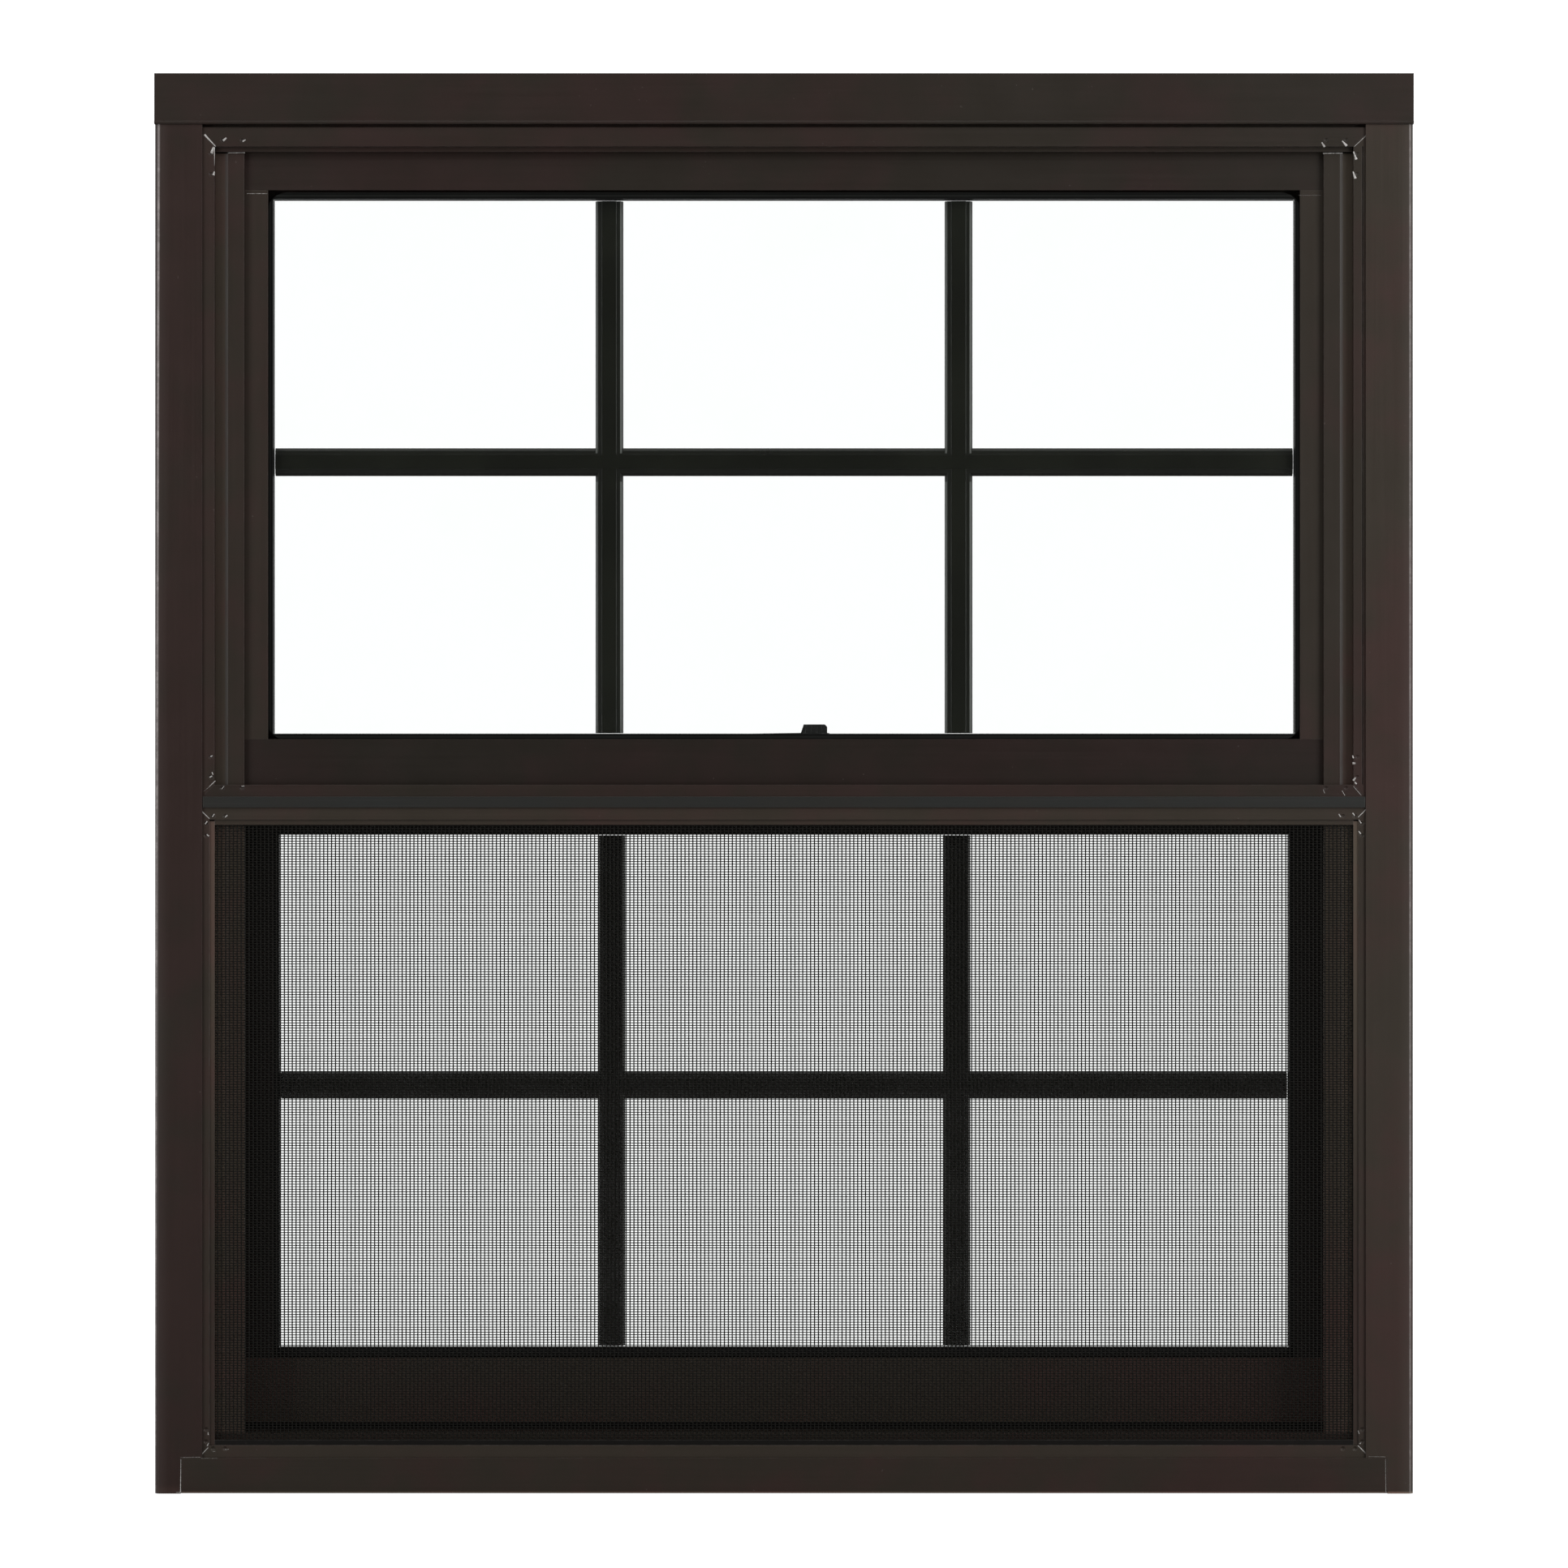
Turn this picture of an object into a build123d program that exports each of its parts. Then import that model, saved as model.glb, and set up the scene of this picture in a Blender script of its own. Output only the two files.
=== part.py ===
"""Aluminium double hung window with a face flange, a half insect screen and snap-in grids.

Millimetres. X runs across the window, Y from the outside (-Y) into the wall, Z up.
The wall's outer face is the plane Y = 0. Heights are measured from the flange's bottom edge,
and the finished pieces are lowered so that the origin is at the middle of the sill flange's back.
"""

import os

from build123d import *

# Outer frame
FRAME_WIDTH = 609.6
FRAME_HEIGHT = 687.6
FLANGE_THICKNESS = 2.5
FLANGE_EDGE_RADIUS = 2.4
FLANGE_LIP = 0.9
SILL_EDGE_RADIUS = 1.5
HEAD_FLANGE = 24.5
JAMB_FLANGE = 23.1
SILL_FLANGE = 17.3
HEAD_PROUD = 0.8
HEAD_BEAD = 1.6
SILL_LAP = 10.5
FLANGE_OVERHANG = 3.8
HEAD_GAP = 1.4
EXTRUSION_WALL = 1.6
FIT = 0.3

# Depths, from the flange's face inwards
INSERT_RECESS = 1.0
INSERT_DEPTH = 4.0
STOP_STEP = 0.5
SASH_DEPTH = 20.5
SASH_PLAY = 0.4
SLIDE_PLAY = 0.8

# Ring round the upper light and half screen below it
RING_BAR = 9.3
RING_LIP = 2.2
RING_TUBE_WALL = 0.8
RING_GROOVE = 0.6
RING_GROOVE_INSET = 1.1
MEETING_HEIGHT = 333.9
MEETING_COVER = 5.3
MEETING_COVER_DROP = 1.7
MEETING_COVER_THICKNESS = 0.8
COVER_CLEARANCE = 0.1
SCREEN_BAR = 5.9
SCREEN_LIP = 2.5
SCREEN_SIDE_PLAY = 1.2
SCREEN_LIP_SETBACK = 0.8
SCREEN_LIP_THICKNESS = 0.8
SCREEN_LIP_END_GAP = 0.7
MESH_THICKNESS = 0.4
MESH_OPENINGS_ACROSS = 12
MESH_OPENINGS_DOWN = 8
MESH_STRAND = 8.0
SPLINE_WIDTH = 2.4
DIMPLE_RADIUS = 1.4
DIMPLE_DEPTH = 0.6
DIMPLE_FIRST = 13.0
DIMPLE_PITCH = 9.7
DIMPLE_INSET = 1.7
TOP_DIMPLE_INSET = 3.0
SCREEN_DIMPLE_FIRST = 7.7
SCREEN_DIMPLE_PITCH = 5.9
SCREEN_DIMPLE_INSET = 1.6

# Sash stops in the jambs
STOP_WIDTH = 23.2
STOP_PROUD_WIDTH = 9.3
STOP_SLOPE = 1.5
STOP_TOP_GAP = 0.5
PARTING_FIN = 15.0
REAR_FIN = 18.0
HEAD_FIN = 12.6
SILL_RIB = 11.2
SILL_LEDGE = 8.9
SILL_DAM = 27.0

# Sashes
SASH_WALL = 1.4
SASH_SIDE_PLAY = 2.5
SASH_STILE = 32.2
UPPER_TOP_RAIL = 27.6
UPPER_BOTTOM_RAIL = 31.5
UPPER_HEAD_PLAY = 3.6
LOWER_TOP_RAIL = 45.5
LOWER_BOTTOM_RAIL = 31.9
MEETING_OVERLAP = 32.7
WEATHERSTRIP = 3.5
WEATHERSTRIP_WIDTH = 8.0
LIFT_RAIL_REACH = 14.0
LIFT_RAIL_DROP = 6.0
POCKET_DEPTH = 7.0
POCKET_FRONT_LEG = 1.6
POCKET_GAP = 6.4
BACK_LEG = 1.4
BACK_LEG_CLEARANCE = 0.2

# Glass, gasket and grid
GLASS_THICKNESS = 3.0
SIDE_REVEAL = 2.4
UPPER_TOP_REVEAL = 4.1
UPPER_BOTTOM_REVEAL = 2.7
LOWER_TOP_REVEAL = 2.5
LOWER_BOTTOM_REVEAL = 4.6
GASKET_BAND = 3.2
GASKET_CLEARANCE = 0.1
GASKET_CORNER = 10.0
GLASS_EDGE_INSET = 0.6
GRID_BAR = 13.5
GRID_CENTRE = 7.1
GRID_LEDGE = 10.9
GRID_THICKNESS = 5.0
GRID_STEP = 0.6
GRID_BEVEL = 1.6
GRID_BACK_CHAMFER = 1.0
GRID_SPACING = 170.4
GRID_RISE = 2.6
GRID_END_CLEARANCE = 0.3

# Latch on the lower sash
LATCH_LENGTH = 44.8
LATCH_WIDTH = 11.0
LATCH_TOE = 0.9
LATCH_HEIGHT = 2.2
KNOB_END_INSET = 7.6
KNOB_WIDTH = 13.0
KNOB_HEIGHT = 4.2
KNOB_SLOPE = 1.4
KNOB_CHAMFER = 1.2
KNOB_DEPTH = 8.0
KNOB_GROOVE = 0.5
KNOB_GROOVES = 4

# Places worked out from the sizes above
half_width = FRAME_WIDTH / 2
flange_edge = half_width - JAMB_FLANGE
web_face = flange_edge + FLANGE_OVERHANG
web_back = web_face + EXTRUSION_WALL
head_edge = FRAME_HEIGHT - HEAD_FLANGE
head_web = head_edge + FIT
sill_top = SILL_FLANGE
flange_front = -FLANGE_THICKNESS
insert_front = flange_front + INSERT_RECESS
insert_back = insert_front + INSERT_DEPTH
stop_back = insert_back + STOP_STEP + EXTRUSION_WALL
upper_front = stop_back + SASH_PLAY
upper_back = upper_front + SASH_DEPTH
parting_front = upper_back + SASH_PLAY
parting_back = parting_front + EXTRUSION_WALL
lower_front = parting_back + SLIDE_PLAY
lower_back = lower_front + SASH_DEPTH
rear_front = lower_back + SLIDE_PLAY
frame_back = rear_front + EXTRUSION_WALL
rib_top = sill_top + SILL_RIB
ledge_top = sill_top + SILL_LEDGE
dam_top = sill_top + SILL_DAM
ring_half = web_face - FIT
ring_top = head_edge - HEAD_GAP
cover_low = MEETING_HEIGHT - MEETING_COVER_DROP
cover_high = cover_low + MEETING_COVER
cover_back = insert_front - COVER_CLEARANCE
cover_front = cover_back - MEETING_COVER_THICKNESS
shelf_top = MEETING_HEIGHT
shelf_low = shelf_top - EXTRUSION_WALL
screen_half = web_face - SCREEN_SIDE_PLAY
screen_top = cover_low
lip_front = insert_front + SCREEN_LIP_SETBACK
mesh_front = lip_front + SCREEN_LIP_THICKNESS
mesh_back = mesh_front + MESH_THICKNESS
stop_inner = web_face - FIT - STOP_WIDTH
stop_top = ring_top - RING_BAR - RING_LIP - STOP_TOP_GAP
sash_half = web_face - SASH_SIDE_PLAY
stile_inner = sash_half - SASH_STILE
sight_half = stile_inner - SIDE_REVEAL
upper_high = head_web - UPPER_HEAD_PLAY
upper_low = shelf_top
lower_low = ledge_top + WEATHERSTRIP
lower_high = MEETING_HEIGHT + MEETING_OVERLAP
middle_of_lower = (lower_front + lower_back) / 2
knob_centre = LATCH_LENGTH / 2 - KNOB_END_INSET

RIGHT = (1, 0, 0)
LEFT = (-1, 0, 0)
UP = (0, 0, 1)
DOWN = (0, 0, -1)


def rect(u0, u1, v0, v1):
    """A rectangle of a section, between two corners."""
    return Pos((u0 + u1) / 2, (v0 + v1) / 2) * Rectangle(u1 - u0, v1 - v0)


def outline(*points):
    """A closed section through the points given."""
    return make_face(Polyline(*points, close=True))


def run(section, start, outward, length):
    """Run a section along its member: u points outward from the opening, v points back."""
    plane = Plane(origin=start, x_dir=outward, z_dir=Vector(*outward).cross(Vector(0, 1, 0)))
    return extrude(plane * section, amount=length)


def upright(shape, y0, y1):
    """Push a shape drawn in the window's own plane from depth y0 to depth y1."""
    return extrude(Plane.XZ.offset(-y0) * shape, amount=y0 - y1)


def span(half, z0, z1):
    """A rectangle across the window, centred on its axis."""
    return rect(-half, half, z0, z1)


def other_side(piece):
    """The mirror image, for the right hand member of a pair."""
    return mirror(piece, about=Plane.YZ)


def frame_head():
    """Head with a full-width flange, a bead along its lower edge and three fins for the sashes."""
    bead_front = flange_front - HEAD_PROUD
    flange = rect(head_edge, FRAME_HEIGHT, bead_front, 0)
    bead = Pos(head_edge + HEAD_BEAD / 2, bead_front + HEAD_BEAD / 4) * Circle(HEAD_BEAD / 2)
    piece = run(flange + bead, (half_width, 0, 0), UP, FRAME_WIDTH)
    web = rect(head_web, head_web + EXTRUSION_WALL, flange_front, frame_back)
    front_fin = rect(head_web - HEAD_FIN, head_web, insert_back, insert_back + EXTRUSION_WALL)
    parting_fin = rect(head_web - HEAD_FIN, head_web, parting_front, parting_back)
    rear_fin = rect(head_web - REAR_FIN, head_web, rear_front, frame_back)
    body = web + front_fin + parting_fin + rear_fin
    return piece + run(body, (web_face - FIT, 0, 0), UP, 2 * (web_face - FIT))


def frame_left_jamb():
    """Jamb with a rounded flange, thin where it laps the inserts, notched at its foot, and two sash fins."""
    flange = rect(flange_edge, half_width, flange_front, 0)
    outer_front = flange.vertices().sort_by(Axis.X)[-2:].sort_by(Axis.Y)[0]
    flange = fillet(outer_front, FLANGE_EDGE_RADIUS)
    flange -= rect(flange_edge, web_face, flange_front + FLANGE_LIP, 0)
    piece = run(flange, (0, 0, head_edge), LEFT, head_edge)
    lap = rect(-half_width + JAMB_FLANGE - SILL_LAP, 0, 0, sill_top)
    piece -= upright(lap, flange_front, 0)
    web = rect(web_face, web_back, 0, frame_back)
    piece += run(web, (0, 0, head_edge), LEFT, head_edge - sill_top)
    parting_fin = rect(web_face - PARTING_FIN, web_face, parting_front, parting_back)
    piece += run(parting_fin, (0, 0, head_web - HEAD_FIN), LEFT, head_web - HEAD_FIN - ledge_top)
    rear_fin = rect(web_face - REAR_FIN, web_face, rear_front, frame_back)
    piece += run(rear_fin, (0, 0, head_web - REAR_FIN), LEFT, head_web - REAR_FIN - dam_top)
    return piece


def frame_sill():
    """Sill with a flange between the jambs, a rib behind the screen, a sash ledge and a rear dam."""
    flange_half = flange_edge + SILL_LAP
    flange = rect(-sill_top, 0, flange_front, 0)
    bottom_front = flange.vertices().sort_by(Axis.X)[-2:].sort_by(Axis.Y)[0]
    flange = fillet(bottom_front, SILL_EDGE_RADIUS)
    piece = run(flange, (-flange_half, 0, 0), DOWN, 2 * flange_half)
    web = rect(-sill_top, EXTRUSION_WALL - sill_top, 0, frame_back)
    piece += run(web, (-web_back, 0, 0), DOWN, 2 * web_back)
    rib = rect(-rib_top, -sill_top, insert_back, insert_back + EXTRUSION_WALL)
    ledge = rect(-ledge_top, EXTRUSION_WALL - ledge_top, parting_front, frame_back)
    riser = rect(-ledge_top, -sill_top, parting_front, parting_back)
    dam = rect(-dam_top, -sill_top, rear_front, frame_back)
    inner_half = web_face - FIT
    return piece + run(rib + ledge + riser + dam, (-inner_half, 0, 0), DOWN, 2 * inner_half)


def sash_stop():
    """Stepped strip in the left jamb that both the ring and the screen bear on."""
    proud_edge = stop_inner + STOP_PROUD_WIDTH
    low_front = insert_back + STOP_STEP
    proud_back = insert_back + EXTRUSION_WALL
    outer = web_face - FIT
    section = outline(
        (stop_inner, insert_back),
        (proud_edge - STOP_SLOPE, insert_back),
        (proud_edge, low_front),
        (outer, low_front),
        (outer, stop_back),
        (proud_edge - STOP_SLOPE, stop_back),
        (proud_edge - STOP_SLOPE, proud_back),
        (stop_inner, proud_back),
    )
    return run(section, (0, 0, stop_top), LEFT, stop_top - rib_top)


def meeting_bar():
    """Cover strip between ring and screen, with the shelf that carries the upper sash."""
    cover = rect(cover_low, cover_high, cover_front, cover_back)
    web = rect(shelf_low, shelf_top, cover_front, insert_back)
    cover_half = flange_edge - FIT
    piece = run(cover + web, (cover_half, 0, 0), UP, 2 * cover_half)
    shelf_half = stop_inner - FIT
    shelf = rect(shelf_low, shelf_top, insert_back, upper_back)
    return piece + run(shelf, (shelf_half, 0, 0), UP, 2 * shelf_half)


def mitre_shape(half, low, high, bar, side):
    """The trapezoid that one bar of a mitred frame fills, seen from the front."""
    inner = half - bar
    corners = {
        "top": ((-half, high), (half, high), (inner, high - bar), (-inner, high - bar)),
        "bottom": ((-half, low), (half, low), (inner, low + bar), (-inner, low + bar)),
        "left": ((-half, low), (-half, high), (-inner, high - bar), (-inner, low + bar)),
    }
    return outline(*corners[side])


def dimples(half, low, high, inset, first, pitch, side):
    """Crimp dents, two at each end of a bar, that lock its corner keys."""
    centre_y = insert_front + DIMPLE_DEPTH - DIMPLE_RADIUS
    offsets = (first, first + pitch)
    places = {
        "top": [(x, high - inset) for o in offsets for x in (-half + o, half - o)],
        "bottom": [(x, low + inset) for o in offsets for x in (-half + o, half - o)],
        "left": [(inset - half, z) for o in offsets for z in (low + o, high - o)],
    }
    dent = Sphere(DIMPLE_RADIUS)
    return [Pos(x, centre_y, z) * dent for x, z in places[side]]


def ring_bar(side):
    """One crimped bar of the ring round the upper light; the top bar has a lip below it."""
    low = MEETING_HEIGHT
    blank = upright(mitre_shape(ring_half, low, ring_top, RING_BAR, side), insert_front, insert_back)
    wall = RING_TUBE_WALL
    hollow_front = insert_front + wall
    hollow_back = insert_back - wall
    inner = ring_half - RING_BAR
    hollows = {
        "top": span(ring_half, ring_top - RING_BAR + wall, ring_top - wall),
        "bottom": span(ring_half, low + wall, low + RING_BAR - wall),
        "left": rect(wall - ring_half, -inner - wall, low, ring_top),
    }
    piece = blank - upright(hollows[side], hollow_front, hollow_back)
    if side == "top":
        lip_high = ring_top - RING_BAR
        piece += upright(span(inner - FIT, lip_high - RING_LIP, lip_high), hollow_back - wall, insert_back)
    inset = RING_BAR - (TOP_DIMPLE_INSET if side == "top" else DIMPLE_INSET)
    return piece - dimples(ring_half, low, ring_top, inset, DIMPLE_FIRST, DIMPLE_PITCH, side)


def right_ring_bar():
    """The right bar of the ring, whose rolled outer edge stands clear of the jamb's lip."""
    groove_edge = flange_edge - RING_GROOVE_INSET
    groove_low = MEETING_HEIGHT + RING_BAR
    groove_high = ring_top - RING_BAR
    groove = rect(groove_edge - RING_GROOVE, groove_edge, groove_low, groove_high)
    return other_side(ring_bar("left")) - upright(groove, insert_front, insert_front + RING_GROOVE)


def screen_bar(side):
    """One crimped bar of the screen frame, with the inner lip that the mesh lies behind."""
    shape = mitre_shape(screen_half, sill_top, screen_top, SCREEN_BAR, side)
    piece = upright(shape, insert_front, insert_back)
    inner = screen_half - SCREEN_BAR
    low = sill_top + SCREEN_BAR
    high = screen_top - SCREEN_BAR
    lips = {
        "top": span(inner - SCREEN_LIP, high - SCREEN_LIP, high),
        "bottom": span(inner - SCREEN_LIP, low, low + SCREEN_LIP),
        "left": rect(-inner, SCREEN_LIP - inner, low, high - SCREEN_LIP_END_GAP),
    }
    piece += upright(lips[side], lip_front, mesh_front)
    inset = SCREEN_BAR - SCREEN_DIMPLE_INSET
    first = SCREEN_DIMPLE_FIRST
    return piece - dimples(screen_half, sill_top, screen_top, inset, first, SCREEN_DIMPLE_PITCH, side)


def screen_mesh():
    """The insect mesh as a thin sheet with a coarse grid of openings, on the back of the screen's lips."""
    half = screen_half - SCREEN_BAR
    low = sill_top + SCREEN_BAR
    high = screen_top - SCREEN_BAR
    across = 2 * half / MESH_OPENINGS_ACROSS
    down = (high - low) / MESH_OPENINGS_DOWN
    cells = GridLocations(across, down, MESH_OPENINGS_ACROSS, MESH_OPENINGS_DOWN)
    opening = Rectangle(across - MESH_STRAND, down - MESH_STRAND)
    middle = Pos(0, (low + high) / 2)
    sheet = span(half, low, high) - [middle * cell * opening for cell in cells]
    return upright(sheet, mesh_front, mesh_back)


def screen_spline():
    """The cord that holds the mesh in the screen frame, pressed in against the lips."""
    half = screen_half - SCREEN_BAR
    low = sill_top + SCREEN_BAR
    high = screen_top - SCREEN_BAR
    loop = span(half, low, high) - span(half - SPLINE_WIDTH, low + SPLINE_WIDTH, high - SPLINE_WIDTH)
    return upright(loop, mesh_back, insert_back)


def sash_section(width):
    """Hollow sash extrusion with a glazing pocket at its inner edge."""
    pocket_back = POCKET_FRONT_LEG + POCKET_GAP
    section = rect(0, width, 0, SASH_DEPTH)
    section -= rect(0, POCKET_DEPTH, POCKET_FRONT_LEG, pocket_back)
    section -= rect(POCKET_DEPTH + SASH_WALL, width - SASH_WALL, SASH_WALL, SASH_DEPTH - SASH_WALL)
    section -= rect(SASH_WALL, width - SASH_WALL, pocket_back + SASH_WALL, SASH_DEPTH - SASH_WALL)
    return section


def back_leg(reveal):
    """Leg behind the pane that closes the pocket up to the sight line."""
    pocket_back = POCKET_FRONT_LEG + POCKET_GAP
    return rect(BACK_LEG_CLEARANCE - reveal, 0, pocket_back, pocket_back + BACK_LEG)


def sash_rail(width, inner_height, reveal, front, outward):
    """A full-width rail of a sash; the stiles butt against its inner edge, outside its back leg."""
    side = 1 if outward == UP else -1
    rail = run(sash_section(width), (side * sash_half, front, inner_height), outward, 2 * sash_half)
    leg_half = sight_half + BACK_LEG_CLEARANCE
    return rail + run(back_leg(reveal), (side * leg_half, front, inner_height), outward, 2 * leg_half)


def sash_stile(low, high, front):
    """The left stile of a sash, between its rails."""
    section = sash_section(SASH_STILE) + back_leg(SIDE_REVEAL)
    return run(section, (-stile_inner, front, high), LEFT, high - low)


def lower_bottom_rail():
    """Bottom rail of the lower sash, with a finger lift along its inside."""
    inner_height = lower_low + LOWER_BOTTOM_RAIL
    rail = sash_rail(LOWER_BOTTOM_RAIL, inner_height, LOWER_BOTTOM_REVEAL, lower_front, DOWN)
    lift_half = web_face - REAR_FIN - SASH_SIDE_PLAY
    reach = SASH_DEPTH + LIFT_RAIL_REACH
    lift = rect(0, EXTRUSION_WALL, SASH_DEPTH, reach)
    lift += rect(0, LIFT_RAIL_DROP, reach - EXTRUSION_WALL, reach)
    return rail + run(lift, (-lift_half, lower_front, inner_height), DOWN, 2 * lift_half)


def weatherstrip():
    """Bulb seal under the lower sash, seated on the sill's ledge."""
    seal = rect(0, WEATHERSTRIP, 0, WEATHERSTRIP_WIDTH)
    top = seal.vertices().sort_by(Axis.X)[-2:]
    seal = fillet(top, WEATHERSTRIP_WIDTH / 4)
    front = middle_of_lower - WEATHERSTRIP_WIDTH / 2
    return run(seal, (-sash_half, front, lower_low), DOWN, 2 * sash_half)


def pane_shape(low, high, margin, radius):
    """An outline that reaches past the sight line of a sash, with bent or rounded corners."""
    width = 2 * (sight_half + margin)
    height = high - low + 2 * margin
    return Pos(0, (low + high) / 2) * RectangleRounded(width, height, radius)


def glass(low, high, front):
    """A pane in the middle of the glazing pocket."""
    y0 = front + POCKET_FRONT_LEG + (POCKET_GAP - GLASS_THICKNESS) / 2
    shape = pane_shape(low, high, GASKET_BAND - GLASS_EDGE_INSET, GASKET_CORNER - GLASS_EDGE_INSET)
    return upright(shape, y0, y0 + GLASS_THICKNESS)


def gasket(low, high, front):
    """Glazing channel wrapped round the pane, bent round at the corners."""
    y0 = front + POCKET_FRONT_LEG + GASKET_CLEARANCE
    y1 = front + POCKET_FRONT_LEG + POCKET_GAP - GASKET_CLEARANCE
    loop = pane_shape(low, high, GASKET_BAND, GASKET_CORNER) - span(sight_half, low, high)
    return upright(loop, y0, y1) - glass(low, high, front)


def grid_section():
    """Snap-in grid bar: raised centre on the glass, ledges, bevelled edges, chamfered back."""
    centre = GRID_CENTRE / 2
    ledge = GRID_LEDGE / 2
    edge = GRID_BAR / 2
    shoulder = GRID_STEP + GRID_BEVEL
    right = [
        (centre, 0),
        (centre, GRID_STEP),
        (ledge, GRID_STEP),
        (edge, shoulder),
        (edge, GRID_THICKNESS - GRID_BACK_CHAMFER),
        (edge - GRID_BACK_CHAMFER, GRID_THICKNESS),
    ]
    left = [(-u, v) for u, v in reversed(right)]
    return outline(*right, *left)


def grid(low, high, front):
    """Two upright bars and one cross bar, lying on the inside of the pane."""
    y0 = front + POCKET_FRONT_LEG + (POCKET_GAP + GLASS_THICKNESS) / 2
    half = sight_half - GRID_END_CLEARANCE
    foot = low + GRID_END_CLEARANCE
    top = high - GRID_END_CLEARANCE
    cross_height = (low + high) / 2 + GRID_RISE
    bars = run(grid_section(), (half, y0, cross_height), UP, 2 * half)
    for x in (-GRID_SPACING / 2, GRID_SPACING / 2):
        bars += run(grid_section(), (x, y0, foot), RIGHT, top - foot)
    return bars


def latch_base():
    """Latch plate on top of the lower sash, tapering to its toe."""
    half = LATCH_LENGTH / 2
    z0 = lower_high
    knob_left = knob_centre - KNOB_WIDTH / 2
    profile = outline(
        (-half, z0),
        (-half, z0 + LATCH_TOE),
        (2 * LATCH_TOE - half, z0 + LATCH_HEIGHT - LATCH_TOE / 2),
        (knob_left, z0 + LATCH_HEIGHT),
        (half, z0 + LATCH_HEIGHT),
        (half, z0),
    )
    plate = upright(profile, middle_of_lower - LATCH_WIDTH / 2, middle_of_lower + LATCH_WIDTH / 2)
    plan = Plane.XY.offset(z0) * Pos(0, middle_of_lower) * SlotOverall(LATCH_LENGTH, LATCH_WIDTH)
    return plate & extrude(plan, amount=LATCH_HEIGHT)


def latch_knob():
    """Thumb knob on the latch plate, sloped on one side and grooved for grip."""
    z0 = lower_high + LATCH_HEIGHT
    left = knob_centre - KNOB_WIDTH / 2
    right = knob_centre + KNOB_WIDTH / 2
    profile = outline(
        (left, z0),
        (left + KNOB_SLOPE, z0 + KNOB_HEIGHT),
        (right - KNOB_CHAMFER, z0 + KNOB_HEIGHT),
        (right, z0 + KNOB_HEIGHT - KNOB_CHAMFER),
        (right, z0),
    )
    y0 = middle_of_lower - KNOB_DEPTH / 2
    knob = upright(profile, y0, y0 + KNOB_DEPTH)
    pitch = (KNOB_WIDTH - KNOB_SLOPE - KNOB_CHAMFER) / KNOB_GROOVES
    groove = Box(KNOB_GROOVE, KNOB_GROOVE, 2 * KNOB_HEIGHT)
    for i in range(KNOB_GROOVES):
        x = left + KNOB_SLOPE + (i + 0.5) * pitch
        for y in (y0, y0 + KNOB_DEPTH):
            knob -= Pos(x, y, z0 + KNOB_HEIGHT) * groove
    return knob


# Inner edges of the rails, and the sight lines inside them
upper_rail_low = upper_low + UPPER_BOTTOM_RAIL
upper_rail_high = upper_high - UPPER_TOP_RAIL
lower_rail_low = lower_low + LOWER_BOTTOM_RAIL
lower_rail_high = lower_high - LOWER_TOP_RAIL
upper_stile = (upper_rail_low, upper_rail_high, upper_front)
lower_stile = (lower_rail_low, lower_rail_high, lower_front)
upper_sight = (upper_rail_low + UPPER_BOTTOM_REVEAL, upper_rail_high - UPPER_TOP_REVEAL, upper_front)
lower_sight = (lower_rail_low + LOWER_BOTTOM_REVEAL, lower_rail_high - LOWER_TOP_REVEAL, lower_front)

nodes = {
    "frame_head": frame_head(),
    "frame_left_jamb": frame_left_jamb(),
    "frame_right_jamb": other_side(frame_left_jamb()),
    "frame_sill": frame_sill(),
    "left_sash_stop": sash_stop(),
    "right_sash_stop": other_side(sash_stop()),
    "meeting_bar": meeting_bar(),
    "upper_ring_top": ring_bar("top"),
    "upper_ring_bottom": ring_bar("bottom"),
    "upper_ring_left": ring_bar("left"),
    "upper_ring_right": right_ring_bar(),
    "upper_sash_top_rail": sash_rail(UPPER_TOP_RAIL, upper_rail_high, UPPER_TOP_REVEAL, upper_front, UP),
    "upper_sash_bottom_rail": sash_rail(
        UPPER_BOTTOM_RAIL, upper_rail_low, UPPER_BOTTOM_REVEAL, upper_front, DOWN
    ),
    "upper_sash_left_stile": sash_stile(*upper_stile),
    "upper_sash_right_stile": other_side(sash_stile(*upper_stile)),
    "upper_gasket": gasket(*upper_sight),
    "upper_glass": glass(*upper_sight),
    "upper_grid": grid(*upper_sight),
    "screen_top_bar": screen_bar("top"),
    "screen_bottom_bar": screen_bar("bottom"),
    "screen_left_bar": screen_bar("left"),
    "screen_right_bar": other_side(screen_bar("left")),
    "screen_mesh": screen_mesh(),
    "screen_spline": screen_spline(),
    "lower_sash_top_rail": sash_rail(LOWER_TOP_RAIL, lower_rail_high, LOWER_TOP_REVEAL, lower_front, UP),
    "lower_sash_bottom_rail": lower_bottom_rail(),
    "lower_sash_left_stile": sash_stile(*lower_stile),
    "lower_sash_right_stile": other_side(sash_stile(*lower_stile)),
    "lower_gasket": gasket(*lower_sight),
    "lower_glass": glass(*lower_sight),
    "lower_grid": grid(*lower_sight),
    "lower_weatherstrip": weatherstrip(),
    "latch_base": latch_base(),
    "latch_knob": latch_knob(),
}

os.makedirs("parts", exist_ok=True)
for name, piece in nodes.items():
    export_step(Pos(0, 0, -SILL_FLANGE / 2) * piece, f"parts/{name}.step")
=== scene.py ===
"""Finishes, insect mesh, raw metal edges and studio for a dark bronze double hung window.

Lengths are metres in the part's own frame: X across the window, Y into the wall, Z up.
"""

import math
import random

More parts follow.
